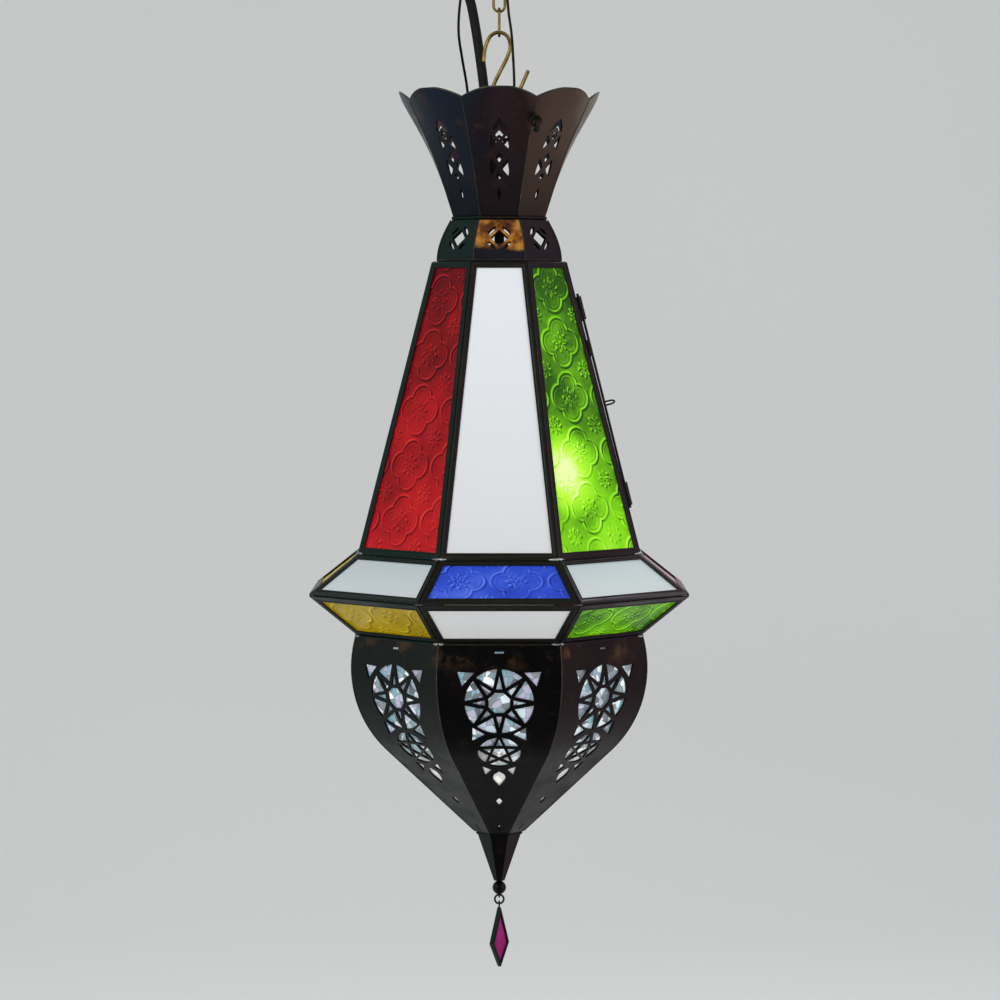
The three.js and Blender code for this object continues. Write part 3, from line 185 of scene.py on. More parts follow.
def catmull(points, per_span):
    """A smooth line through the points, the same centripetal curve as the CAD model's."""
    points = [np.array(p, float) for p in points]
    padded = [2 * points[0] - points[1], *points, 2 * points[-1] - points[-2]]
    line = []
    for span in zip(padded, padded[1:], padded[2:], padded[3:]):
        knots = np.cumsum([0, *(length**0.5 for length in side_lengths(span))])
        for t in np.linspace(knots[1], knots[2], per_span, endpoint=False):
            level = span
            for first, reach in ((0, 1), (0, 2), (1, 1)):
                level = [
                    ((end - t) * a + (t - start) * b) / (end - start)
                    for a, b, start, end in zip(level, level[1:], knots[first:], knots[first + reach:])
                ]
            line.append(level[0])
    line.append(points[-1])
    return line


def side_lengths(line):
    return [np.linalg.norm(b - a) for a, b in zip(line, line[1:])]


def tube(line, radius, sides=10, closed=False, rounded=0):
    """A round tube along a line. rounded is the share of the radius by which its ends are drawn in."""
    line = [np.array(p, float) for p in line]
    count = len(line)
    if closed:
        along = [line[(i + 1) % count] - line[i - 1] for i in range(count)]
    else:
        along = [line[min(i + 1, count - 1)] - line[max(i - 1, 0)] for i in range(count)]
    along = [a / np.linalg.norm(a) for a in along]
    side = np.cross(along[0], (0.31, 0.77, 0.55))
    rings = []
    for i, (point, direction) in enumerate(zip(line, along)):
        side = side - direction * side.dot(direction)
        side = side / np.linalg.norm(side)
        other = np.cross(direction, side)
        size = radius(i / (count - 1)) if callable(radius) else radius
        turns = [2 * math.pi * j / sides for j in range(sides)]
        rings.append([point + size * (math.cos(t) * side + math.sin(t) * other) for t in turns])
    if rounded and not closed:
        ends = []
        for centre, ring, direction in ((line[0], rings[0], -along[0]), (line[-1], rings[-1], along[-1])):
            reach = np.linalg.norm(ring[0] - centre) * rounded
            ends.append([centre + (p - centre) * (1 - rounded) + direction * reach for p in ring])
        rings = [ends[0], *rings, ends[1]]
    return rings_to_skin(rings, closed=closed, capped=not closed)


def lathe(profile, sides, centre=(0, 0)):
    """A profile of (radius, z) turned about a vertical line; the profile closes on itself."""
    rings = []
    for j in range(sides):
        turn = 2 * math.pi * j / sides
        c, s = math.cos(turn), math.sin(turn)
        rings.append([(centre[0] + max(r, 0.01) * c, centre[1] + max(r, 0.01) * s, z) for r, z in profile])
    return rings_to_skin(rings)


def rounded_profile(profile, radius=0.6, steps=3):
    """Rounds the corners of a closed (radius, z) profile."""
    made = []
    count = len(profile)
    for i, corner in enumerate(profile):
        before = np.array(profile[i - 1], float)
        here = np.array(corner, float)
        after = np.array(profile[(i + 1) % count], float)
        first, second = before - here, after - here
        cut_back = min(radius, np.linalg.norm(first) * 0.45, np.linalg.norm(second) * 0.45)
        start = here + first / np.linalg.norm(first) * cut_back
        end = here + second / np.linalg.norm(second) * cut_back
        if corner[0] < 0.02:
            made.append(corner)
            continue
        for k in range(steps + 1):
            t = k / steps
            made.append(tuple((1 - t) ** 2 * start + 2 * t * (1 - t) * here + t * t * end))
    return made


# Materials


class Nodes:
    """A node tree with short ways to add nodes. An input is a number, a tuple or a node's output."""

    def __init__(self, tree):
        self.tree = tree

    def put(self, node, **inputs):
        """Fills a node's inputs, called by their names with _ for a space, or i0, i1 by their place."""
        for name, value in inputs.items():
            target = node.inputs[int(name[1:]) if name[1:].isdigit() else name.replace("_", " ")]
            if isinstance(value, bpy.types.NodeSocket):
                self.tree.links.new(value, target)
            else:
                target.default_value = (*value, 1) if target.type == "RGBA" else value
        return node

    def add(self, kind, **inputs):
        return self.put(self.tree.nodes.new("ShaderNode" + kind), **inputs)

    def math(self, operation, total, *others):
        """Several values joined by an operation, from the left."""
        for value in others:
            made = self.add("Math", i0=total, i1=value)
            made.operation = operation
            total = made.outputs["Value"]
        return total

    def seen(self):
        """1 for what is seen, also in a reflection or through glass, and 0 for light cast on the piece."""
        paths = self.add("LightPath").outputs
        return self.math("MAXIMUM", paths["Is Camera Ray"], paths["Is Glossy Ray"], paths["Is Transmission Ray"])


class Shader(Nodes):
    """A new material."""

    def __init__(self, name, **settings):
        self.material = bpy.data.materials.new(name)
        self.material.use_nodes = True
        super().__init__(self.material.node_tree)
        self.surface = self.put(self.tree.nodes["Principled BSDF"], **settings)
        self.place = self.add("TexCoord").outputs["Object"]

    def noise(self, scale, detail=3.0, roughness=0.5):
        made = self.add("TexNoise", Vector=self.place, Scale=scale, Detail=detail, Roughness=roughness)
        return made.outputs["Fac"]

    def ramp(self, value, *stops):
        made = self.add("ValToRGB", Fac=value)
        elements = made.color_ramp.elements
        while len(elements) < len(stops):
            elements.new(0.5)
        for element, (position, colour) in zip(elements, stops):
            element.position = position
            element.color = (*colour, 1)
        return made.outputs["Color"]

    def spread(self, value, low, high, to_low=0.0, to_high=1.0):
        """The value's range from low to high, stretched to another range and held at its ends."""
        made = self.add("MapRange", Value=value, From_Min=low, From_Max=high, To_Min=to_low, To_Max=to_high)
        return made.outputs["Result"]

    def mix(self, amount, first, second):
        made = self.add("Mix")
        made.data_type = "RGBA"
        return self.put(made, i0=amount, i6=first, i7=second).outputs[2]

    def z(self):
        return self.add("SeparateXYZ", Vector=self.place).outputs["Z"]

    def cover(self, colour, bump, rough=None):
        """Lays on a colour, a bump (height, strength, depth) and a roughness (value, low, high), or else a glow."""
        height, strength, depth = bump
        made = self.add("Bump", Height=height, Strength=strength, Distance=depth * MM)
        self.put(self.surface, Base_Color=colour, Normal=made.outputs["Normal"])
        if rough:
            value, low, high = rough
            self.put(self.surface, Roughness=self.spread(value, 0.3, 0.7, low, high))
        else:
            self.put(self.surface, Emission_Color=colour)
        return self.material


# Heights between which a look changes, in metres; the _LIT pairs set where the glass's painted glow grows
BODY_LIT = (-0.25, -0.43)
BELT_LIT = (-0.434, -0.445)
BOWL_LIT = (-0.555, -0.588)
BOWL_BAND = (-0.506, -0.498)
COLLAR_BLACK = (-0.231, -0.228)

# The colour of the painted shade
PAINTED_SHADE = (0.004, 0.004, 0.005)
SMUDGE = (0.12, 0.06, 0.028)
# How far from the lamp the painted hot spot fades, in metres
LAMP_LIT = (0.006, 0.032)
LINER_FACETS = 190.0


def oxidised(name, stops, shaded=None, worn_colour=(0.06, 0.042, 0.03), amount=0.3, smudged=False):
    """Oxidised metal whose colour drifts with the way that its faces look, from the left to the right. The dark
    patina is the metal's own; the drift is painted light, a painted sheen and reflection with cool tones on faces
    that look left and warm tones on faces that look right.

    shaded holds two heights, between which it goes black downwards in a painted shade, and the share of its colour
    that is left.
    smudged puts coppery smudges in the band under the bowl's rim.
    """
    made = Shader(name, Metallic=0.9, Specular_IOR_Level=0.25)
    # Painted light: the colour follows the side that each face looks to, a painted sheen and reflection.
    side_sheen = made.add("SeparateXYZ", Vector=made.add("TexCoord").outputs["Normal"]).outputs["X"]
    drift = made.math("ADD", made.spread(side_sheen, -1, 1), made.spread(made.noise(22), 0, 1, -0.14, 0.14))
    worn = made.spread(made.noise(90, 6, 0.65), 0.55, 0.75)
    colour = made.mix(made.math("MULTIPLY", worn, amount), made.ramp(drift, *stops), worn_colour)
    if shaded:
        low, high, left = shaded
        # Painted shade: darker downwards between the two heights.
        colour = made.mix(made.spread(made.z(), low, high, 1 - left, 0.0), colour, PAINTED_SHADE)
    if smudged:
        band = made.spread(made.z(), *BOWL_BAND)
        patches = made.spread(made.noise(44, 5, 0.6), 0.54, 0.68)
        colour = made.mix(made.math("MULTIPLY", band, patches, 0.6), colour, SMUDGE)
    return made.cover(colour, (made.noise(220, 4), 0.2, 0.3), (made.noise(55, 5, 0.6), 0.28, 0.5))


def collar_front_highlight():
    """The collar's front: copper and gold patches above a black foot, the patches a painted highlight that this face
    alone carries.
    """
    made = Shader("collar_metal", Metallic=0.9)
    painted_highlight = made.ramp(
        made.noise(46, 6, 0.65), (0.36, (0.03, 0.014, 0.016)), (0.46, (0.16, 0.05, 0.014)),
        (0.54, (0.5, 0.2, 0.03)), (0.66, (0.85, 0.5, 0.14)),
    )
    ragged = made.math("ADD", made.z(), made.spread(made.noise(60), 0, 1, -0.004, 0.004))
    foot = made.spread(ragged, *COLLAR_BLACK, 1.0, 0.0)
    colour = made.mix(foot, painted_highlight, (0.012, 0.012, 0.018))
    return made.cover(colour, (made.noise(200, 4), 0.2, 0.3), (made.noise(60, 4), 0.22, 0.42))


def worn_metal(name, stops, rough, worn=(120, 5, 0.6), grain=(400, 0.12, 0.1), metallic=1.0):
    """Bare metal, paler where it is worn. grain is the scale, strength and depth of its bump."""
    made = Shader(name, Metallic=metallic)
    wear = made.noise(*worn)
    scale, strength, depth = grain
    return made.cover(made.ramp(wear, *stops), (made.noise(scale), strength, depth), (wear, *rough))


def moulded(name, dark, pale, grain=900, rough=(0.35, 0.55), specular=0.5):
    """Plastic, paint or ceramic with a fine grain."""
    made = Shader(name, Specular_IOR_Level=specular)
    speckle = made.noise(grain)
    colour = made.ramp(made.noise(40, 4), (0.35, dark), (0.65, pale))
    return made.cover(colour, (speckle, 0.15, 0.08), (speckle, *rough))


def pressed_glass(name, deep, middle, bright, hot, glow, spot=None, curve=1.0, belt=0.0):
    """Coloured glass lit from inside by a painted glow: an emission that stands for the lamp's light, brighter
    towards the lamp, and its relief lit on one side of each line by painted light and shade.
    """
    made = Shader(name, Roughness=0.22, Emission_Strength=glow, Specular_IOR_Level=0.12)
    relief = made.add("Attribute")
    relief.attribute_name = "relief"
    # Painted light: the glow grows from the body's top downwards, and changes on the belts.
    height = made.math("POWER", made.spread(made.z(), *BODY_LIT), curve)
    height = made.spread(height, 0, 1, 0.2, 0.5)
    lower = made.spread(made.z(), *BELT_LIT, 0.0, belt)
    cloud = made.spread(made.noise(30, 5, 0.62), 0.3, 0.7, -0.12, 0.12)
    uneven = made.spread(made.noise(85), 0.35, 0.65, 0.16, 0.48)
    # The relief attribute is painted light and shade: each relief line lit on one side and dark on the other.
    light = made.math("ADD", height, lower, cloud, made.math("MULTIPLY", relief.outputs["Fac"], uneven))
    # A painted hot spot round the lamp's place.
    if spot:
        away = made.add("VectorMath", i0=made.place, i1=spot)
        away.operation = "DISTANCE"
        light = made.math("ADD", light, made.spread(away.outputs["Value"], *LAMP_LIT, 0.75, 0.0))
    dark = tuple(c * 0.45 for c in deep)
    tint = made.ramp(light, (0.0, dark), (0.2, deep), (0.5, middle), (0.8, bright), (1.0, hot))
    return made.cover(tint, (made.noise(420), 0.3, 0.15))


def opal_glass(name, top, foot, glow, high=-0.25, low=-0.49, belt=None):
    """White glass with a very slight cloudiness, lit from inside, a little bluer towards its top. On the panes the
    glow is painted light that stands for the lamp's; the lamp's globe glows as the lamp.
    """
    made = Shader(name, Roughness=0.3, Emission_Strength=glow, Specular_IOR_Level=0.25)
    cloud = made.spread(made.noise(11), 0, 1, -0.07, 0.07)
    drift = made.math("ADD", made.spread(made.z(), low, high), cloud)
    tint = made.ramp(drift, (0.1, belt or foot), (0.25, foot), (0.9, top))
    return made.cover(tint, (made.noise(300, 2), 0.08, 0.1))


def cut_glass():
    """Clear patterned glass behind the pierced bowl: small facets of pale blue, lilac and grey, painted reflections
    of the lit inside, with a painted glow that grows towards the bottom.
    """
    made = Shader("liner_glass", Roughness=0.12, Coat_Weight=0.4, Emission_Strength=0.6)
    cells, edges = [made.add("TexVoronoi", Scale=LINER_FACETS, Vector=made.place) for _ in range(2)]
    edges.feature = "DISTANCE_TO_EDGE"
    pick = made.add("SeparateColor", Color=cells.outputs["Color"])
    tint = made.ramp(
        pick.outputs[0], (0.0, (0.07, 0.09, 0.1)), (0.25, (0.2, 0.22, 0.24)), (0.45, (0.16, 0.34, 0.4)),
        (0.6, (0.36, 0.33, 0.44)), (0.8, (0.42, 0.52, 0.58)), (1.0, (0.9, 0.94, 0.95)),
    )
    line = made.spread(edges.outputs["Distance"], 0.0, 0.08, 0.55, 0.0)
    facet = made.mix(line, tint, (0.05, 0.06, 0.07))
    # Painted light: the glow grows towards the bowl's foot.
    low_glow = made.spread(made.z(), *BOWL_LIT, 0.0, 0.75)
    return made.cover(made.mix(low_glow, facet, (0.9, 0.85, 0.78)), (pick.outputs[1], 0.6, 0.8))


# Finishes: each a material and the slot that it fills

# The oxidised finishes' stops run from faces that look left to faces that look right: painted sheen and reflection
# over the patina.
METAL = (oxidised("oxidised_metal", (
    (0.0, (0.010, 0.024, 0.021)), (0.2, (0.011, 0.027, 0.023)), (0.42, (0.014, 0.016, 0.014)),
    (0.5, (0.019, 0.017, 0.012)), (0.6, (0.016, 0.011, 0.015)), (0.85, (0.024, 0.013, 0.02)),
    (1.0, (0.042, 0.032, 0.034)),
)), "dark_metal")
# The crown's palest stops, on faces that look right, are a painted highlight.
CROWN_METAL = (oxidised("crown_sheet", (
    (0.0, (0.016, 0.022, 0.028)), (0.16, (0.014, 0.022, 0.036)), (0.36, (0.012, 0.015, 0.023)),
    (0.44, (0.016, 0.01, 0.014)), (0.5, (0.026, 0.015, 0.018)), (0.6, (0.022, 0.012, 0.013)),
    (0.72, (0.06, 0.036, 0.03)), (0.86, (0.095, 0.056, 0.042)), (1.0, (0.22, 0.185, 0.13)),
), (-0.205, -0.15, 0.4), (0.11, 0.048, 0.036), 0.35), "dark_metal")
BOWL_METAL = (oxidised("bowl_sheet", (
    (0.0, (0.013, 0.018, 0.017)), (0.15, (0.015, 0.019, 0.018)), (0.4, (0.005, 0.004, 0.0045)),
    (0.5, (0.0022, 0.002, 0.002)), (0.62, (0.006, 0.0035, 0.005)), (0.85, (0.018, 0.0095, 0.011)),
    (1.0, (0.026, 0.012, 0.014)),
), amount=0.2, smudged=True), "dark_metal")
COLLAR_METAL = (collar_front_highlight(), "dark_metal")
SEAM = (worn_metal(
    "seam_metal", ((0.35, (0.018, 0.02, 0.02)), (0.6, (0.05, 0.048, 0.036)), (0.78, (0.14, 0.12, 0.08))),
    (0.3, 0.5), (70, 5, 0.6), (260, 0.25, 0.2), 0.9,
), "dark_metal")
# Painted glints: bright metal for the runs at the belt corners, which stand for reflections on the came edges.
GLINT_METAL = (
    worn_metal("painted_glint", ((0.35, (0.16, 0.17, 0.17)), (0.7, (0.5, 0.52, 0.52))), (0.22, 0.4)), "dark_metal",
)
BRASS = (worn_metal(
    "yellow_brass", ((0.3, (0.07, 0.042, 0.01)), (0.5, (0.18, 0.12, 0.03)), (0.78, (0.42, 0.3, 0.095))),
    (0.22, 0.5), (160, 6, 0.65), (500, 0.15, 0.1),
), "yellow_brass")
STEEL = (
    worn_metal("bright_steel", ((0.35, (0.38, 0.39, 0.41)), (0.7, (0.66, 0.67, 0.69))), (0.25, 0.45)), "steel",
)
DARK_WIRE = (
    worn_metal("dark_wire", ((0.35, (0.012, 0.009, 0.006)), (0.7, (0.035, 0.025, 0.016))), (0.4, 0.6)), "dark_wire",
)
ROSE_PAINT = (
    moulded("rose_paint", (0.028, 0.028, 0.03), (0.045, 0.045, 0.048), 500, (0.3, 0.45)), "rose_paint",
)
BLACK_PLASTIC = (moulded("black_plastic", (0.012, 0.012, 0.012), (0.022, 0.022, 0.022)), "black_plastic")
SHEATH = (
    moulded("cable_sheath", (0.003, 0.003, 0.003), (0.007, 0.006, 0.006), 700, (0.55, 0.7), 0.2), "cable_sheath",
)
LAMP_OPAL = (opal_glass("lamp_opal", (0.94, 0.93, 0.88), (0.97, 0.96, 0.93), 1.6), "lamp_opal")

# Materials of CAD nodes that stay
ZINC = worn_metal("zinc_plate", ((0.35, (0.1, 0.105, 0.11)), (0.7, (0.2, 0.205, 0.21))), (0.45, 0.6))
CERAMIC = moulded("ceramic", (0.74, 0.72, 0.67), (0.84, 0.82, 0.78), 300, (0.15, 0.3))

# The panes' glow is painted light: an emission that stands for the lamp's light through the glass.
GLASS = {
    "opal": opal_glass("opal_glass", (0.68, 0.7, 0.73), (0.61, 0.61, 0.615), 0.3, belt=(0.7, 0.7, 0.705)),
    "frosted": opal_glass("frosted_glass", (0.39, 0.46, 0.475), (0.46, 0.51, 0.52), 0.4, -0.43, -0.46),
    "clear": cut_glass(),
}
# Columns: the tint, then the deep, middle, bright and hot colours and the glow; green also has the lamp's place for
# its painted hot spot, the curve and the belt shift.
for tinted, *look in (
    ("red", (0.09, 0.001, 0.003), (0.34, 0.006, 0.009), (0.55, 0.024, 0.012), (0.8, 0.16, 0.1), 0.55),
    ("green", (0.022, 0.09, 0.003), (0.19, 0.58, 0.006), (0.42, 0.8, 0.04), (0.68, 0.86, 0.33), 0.55,
     (0.0455, -0.0681, -0.377), 2.2, -0.2),
    ("blue", (0.007, 0.012, 0.2), (0.02, 0.055, 0.42), (0.1, 0.17, 0.62), (0.3, 0.4, 0.82), 0.55),
    ("amber", (0.13, 0.08, 0.001), (0.31, 0.215, 0.002), (0.5, 0.38, 0.012), (0.8, 0.62, 0.1), 0.5),
    ("rose", (0.13, 0.07, 0.08), (0.28, 0.16, 0.18), (0.42, 0.27, 0.29), (0.58, 0.4, 0.43), 0.5),
    ("magenta", (0.06, 0.003, 0.026), (0.2, 0.008, 0.09), (0.42, 0.05, 0.22), (0.62, 0.16, 0.38), 0.4),
):
    GLASS[tinted] = pressed_glass(f"{tinted}_glass", *look)
BODY_GLASS = ["opal", "green", "opal", "blue", "opal", "amber", "opal", "red"]
UPPER_BELT_GLASS = ["blue", "frosted", "rose", "frosted", "green", "frosted", "amber", "frosted"]
LOWER_BELT_GLASS = ["opal", "green", "opal", "red", "opal", "blue", "opal", "amber"]


def glass(colour):
    return GLASS[colour], f"{colour}_glass"



# Cords: the routes of the CAD model, each cut into one stretch for each pair of neighbouring bodies in the chain

CABLE = [
    (-24, 12, -30.3), (-24, 12, -42.3), (-22.4, 11.8, -54), (-19.2, 11.4, -64), (-15.8, 10.8, -82),
    (-12.8, 9.8, -102), (-10.4, 8.4, -121), (-8.8, 6.6, -140), (-6.4, 4.4, -162), (-3.2, 2, -184),
    (-0.8, 0.5, -204), (0, 0, -220.2), (0, 0, -230.2),
]
SAFETY_WIRE = [
    (-20.2, 46, -138.2), (-21, 40.6, -131), (-22.2, 30, -118), (-25.3, 17, -100), (-27.4, 9, -85),
    (-27, 5, -70), (-24.8, 3.6, -56), (-19.5, 3.6, -43), (-10.3, 3.8, -33), (-1.2, 3.9, -29.9),
    (4.2, 3, -32.6), (6.6, -0.8, -42), (5.4, -3.8, -56), (6.1, -6, -70), (8.2, -9.6, -86),
    (9.4, -14.4, -104), (10, -19, -120), (9.6, -22.6, -131.8),
]
CABLE_RADIUS = 3.3
WIRE_RADIUS = 0.9
CHAIN = ["ceiling_fitting", "upper_link", "lower_link", "s_hook", "lamp"]


def cut_line(line, count):
    """Cuts a line into stretches of equal length that share their end points."""
    reach = np.cumsum([0, *side_lengths(line)])
    cuts = np.linspace(0, reach[-1], count + 1)
    points = np.array(line)
    ends = np.column_stack([np.interp(cuts, reach, points[:, axis]) for axis in range(3)])
    return [
        [ends[i], *points[(reach > cuts[i] + 0.2) & (reach < cuts[i + 1] - 0.2)], ends[i + 1]]
        for i in range(count)
    ]


def hang_cord(name, route, radius, bodies, finish, node):
    """One tube for each pair of neighbouring bodies on the way."""
    material, slot = finish
    for i, stretch in enumerate(cut_line(catmull(route, 14), len(bodies) - 1)):
        piece = mesh(f"{name}_{i + 1}", *tube(stretch, radius, 16))
        shade(piece, material, 50)
        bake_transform(piece)
        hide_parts(node)


hang_cord("supply_cable", CABLE, CABLE_RADIUS, CHAIN, SHEATH, "power_cord")
hang_cord("tie_wire", SAFETY_WIRE, WIRE_RADIUS, CHAIN[::-1] + CHAIN[1:], DARK_WIRE, "safety_wire")

# Hook, chain, S-hook and rod

HOOK_BOTTOM = -55.4
HOOK_BEND = 9
LINK_WIRE, LINK_WIDTH, LINK_LENGTH = 1.9, 9.5, 20.4
S_HOOK_TOP = -84.4
ROD_MIDDLE = -131.7
ROD_RISE = 12.3
ROD_TURN = math.radians(22.5)
ROD_ACROSS = (math.cos(ROD_TURN), math.sin(ROD_TURN))
ROD_HOLE_HEIGHT = 65.6
CROWN_HEIGHT = 85.2
CROWN_FOOT_FLAT, CROWN_RIM_FLAT = 30.4, 61.5


def ceiling_hook():
    centre = HOOK_BOTTOM + HOOK_BEND
    turns = [math.radians(degrees) for degrees in (40, 0, -45, -90, -135, 180, 150)]
    bend = [(0, HOOK_BEND * math.cos(t), centre + HOOK_BEND * math.sin(t)) for t in turns]
    shank = [(0, 0, -4.1), (0, 0, -22.3), (0, 0, -26.4), (0, 0, centre + HOOK_BEND + 4)]
    part = tube(catmull(shank + bend, 8), 1.96, 18, rounded=0.5)
    dress("brass_hook", part, BRASS, "ceiling_fitting", ["ceiling_hook"])


def circle(radius, sides):
    turns = [2 * math.pi * i / sides for i in range(sides)]
    return [(radius * math.cos(t), radius * math.sin(t)) for t in turns]


def chain_link(name, node, turn, body):
    """A link of two half circles with straight sides between them."""
    middle = sum(levels(node)) / 2
    line = []
    for start, end in ((0, 1), (math.pi, -1)):
        for i in range(19):
            t = start + i * math.pi / 18
            x = (LINK_WIDTH - LINK_WIRE) / 2 * math.cos(t)
            z = (LINK_WIDTH - LINK_WIRE) / 2 * math.sin(t) + end * (LINK_LENGTH - LINK_WIDTH) / 2
            line.append((math.cos(turn) * x, math.sin(turn) * x, z + middle))
    dress(name, tube(line, LINK_WIRE / 2 * 0.98, 14, closed=True), BRASS, body, [node])


def s_hook():
    line = [
        (-10.5, -19.5), (-9.3, -10), (-5.4, -2.1), (0, 0), (5.2, -2.4), (7.5, -9.3), (5.2, -17.2), (0.2, -27),
        (-4, -36), (-5.6, -42), (-4.4, -47.8), (0, -50.4), (6.4, -49), (11.4, -43.6), (14.7, -36.6),
        (19.4, -26),
    ]
    line = catmull([(x, 0, S_HOOK_TOP + down) for x, down in line], 8)
    dress("brass_s_hook", tube(line, 1.28, 16, rounded=0.5), BRASS, "s_hook", ["s_hook"])


def crown_flat(share):
    """The distance from the axis to a petal, at a share of the crown's height."""
    flare = 0.86 * share + 0.42 * share**4 - 0.28 * share**8
    return CROWN_FOOT_FLAT + (CROWN_RIM_FLAT - CROWN_FOOT_FLAT) * flare


ROD_END = crown_flat(ROD_HOLE_HEIGHT / CROWN_HEIGHT) * CORNER


def on_rod(distance):
    return *facing(ROD_TURN, distance), ROD_MIDDLE - ROD_RISE * (distance / ROD_END) ** 2


def cross_rod():
    def curl(side):
        ends = ((4.5, -1.6), (7.5, -4.6), (6.6, -8.6), (3.4, -8.8))
        return [(*facing(ROD_TURN, side * (ROD_END + out)), ROD_MIDDLE - ROD_RISE + up) for out, up in ends]

    bow = [on_rod(i / 4 * ROD_END) for i in range(-4, 5)]
    line = catmull([*curl(-1)[::-1], *bow, *curl(1)], 8)
    dress("bowed_rod", tube(line, 1.47, 14, rounded=0.4), METAL, nodes=["cross_rod"])


def beside_rod(distance, side, z):
    x, y = facing(ROD_TURN, distance)
    return x + ROD_ACROSS[0] * side, y + ROD_ACROSS[1] * side, z


WRAP_RADIUS = 2.35
WRAP_PITCH = 1.8


def wire_wraps():
    """The tie wire's turns round the rod."""
    parts = []
    for middle, count in ((-49.6, 4), (24.4, 5)):
        line = []
        for i in range(count * 14 + 1):
            t = i / 14
            distance = middle + (t - count / 2) * WRAP_PITCH
            side, up = WRAP_RADIUS * math.sin(2 * math.pi * t), WRAP_RADIUS * math.cos(2 * math.pi * t)
            line.append(beside_rod(distance, side, on_rod(distance)[2] + up))
        parts.append(tube(line, 0.8, 8, rounded=0.3))
    dress("wire_wraps", merged(parts), DARK_WIRE)


def twisted_tail():
    """A knot of dark wire round the rod's end, where it comes out at the front seam."""
    line = []
    for i in range(66):
        t = i / 65
        around = 2 * math.pi * 3.2 * t
        reach = 2.5 + 1.1 * math.sin(5 * t)
        z = ROD_MIDDLE - ROD_RISE - 2 + math.sin(around) * reach - 3 * t
        line.append(beside_rod(ROD_END + 2.6 * (1 + t), math.cos(around) * reach + 1.5 * t, z))
    dress("wire_tail", tube(line, 0.75, 8, rounded=0.3), DARK_WIRE)


ceiling_hook()
chain_link("upper_chain_link", "chain_link_upper", 0, "upper_link")
chain_link("lower_chain_link", "chain_link_lower", math.pi / 2, "lower_link")
s_hook()
cross_rod()
wire_wraps()
twisted_tail()

# Pierced sheets


def inside(points, outline):
    """Which of the points lie in a closed outline."""
    x, y = points[:, 0], points[:, 1]
    found = np.zeros(len(points), bool)
    count = len(outline)
    for i in range(count):
        (x1, y1), (x2, y2) = outline[i - 1], outline[i]
        crosses = (y1 > y) != (y2 > y)
        with np.errstate(divide="ignore", invalid="ignore"):
            at = (x2 - x1) * (y - y1) / (y2 - y1) + x1
        found ^= crosses & (x < at)
    return found


def finer(outline, step=0.0, parts=0):
    """A closed line with each side divided in so many parts, or in parts no longer than a step."""
    made = []
    for a, b in zip(outline, [*outline[1:], outline[0]]):
        a, b = np.array(a, float), np.array(b, float)
        count = parts or max(1, math.ceil(np.linalg.norm(b - a) / step))
        made.extend(tuple(a + (b - a) * k / count) for k in range(count))
    return made


def pierced_sheet(outline, holes, step, place, thick):
    """A flat outline with holes, laid on a curved surface by place(x, y, depth), as a closed sheet."""
    loops = [finer(loop, step) for loop in (outline, *holes)]

    def on_metal(points):
        found = inside(points, loops[0])
        for hole in loops[1:]:
            found &= ~inside(points, hole)
        return found

    corners = np.array([p for loop in loops for p in loop])
    edges, start = [], 0
    for loop in loops:
        edges.extend((start + i, start + (i + 1) % len(loop)) for i in range(len(loop)))
        start += len(loop)
    low, high = corners.min(0), corners.max(0)
    rows = []
    row_step = step * math.sqrt(0.75)
    for j in range(int((high[1] - low[1]) / row_step) + 1):
        xs = np.arange(low[0] + (j % 2) * step / 2, high[0], step)
        rows.append(np.column_stack([xs, np.full(len(xs), low[1] + j * row_step)]))
    grid = np.vstack(rows)
    grid = grid[on_metal(grid)]
    distance = np.min(np.linalg.norm(grid[:, None] - corners[None], axis=2), axis=1)
    grid = grid[distance > 0.55 * step]
    spots = [Vector(p) for p in np.vstack([corners, grid])]
    flat, _, triangles, *_ = delaunay_2d_cdt(spots, edges, [], 0, 1e-5)
    flat = np.array([tuple(p) for p in flat])
    kept = on_metal(np.array([flat[list(t)].mean(0) for t in triangles]))
    triangles = [t for t, k in zip(triangles, kept) if k]
    used = sorted({i for t in triangles for i in t})
    number = {old: new for new, old in enumerate(used)}
    triangles = [tuple(number[i] for i in t) for t in triangles]
    count = len(used)
    points = [place(x, y, depth) for depth in (0, thick) for x, y in flat[used]]
    faces = triangles + [tuple(i + count for i in t[::-1]) for t in triangles]
    sides = dict.fromkeys(side for a, b, c in triangles for side in ((a, b), (b, c), (c, a)))
    faces += [(b, a, a + count, b + count) for a, b in sides if (b, a) not in sides]
    return points, faces


def drawn_in(points, distance):
    """A convex outline drawn in by the same distance all round."""
    pairs = list(zip(points, points[1:] + points[:1]))
    side = math.copysign(distance, sum(x * next_y - next_x * y for (x, y), (next_x, next_y) in pairs))
    lines = []
    for (x, y), (next_x, next_y) in pairs:
        length = math.hypot(next_x - x, next_y - y)
        a, b = (y - next_y) / length, (next_x - x) / length
        lines.append((a, b, a * x + b * y + side))
    made = []
    for (a0, b0, reach0), (a, b, reach) in zip(lines[-1:] + lines[:-1], lines):
        det = a0 * b - a * b0
        made.append(((reach0 * b - reach * b0) / det, (a0 * reach - a * reach0) / det))
    return made


def mirrored(points):
    return [(-x, y) for x, y in points][::-1]


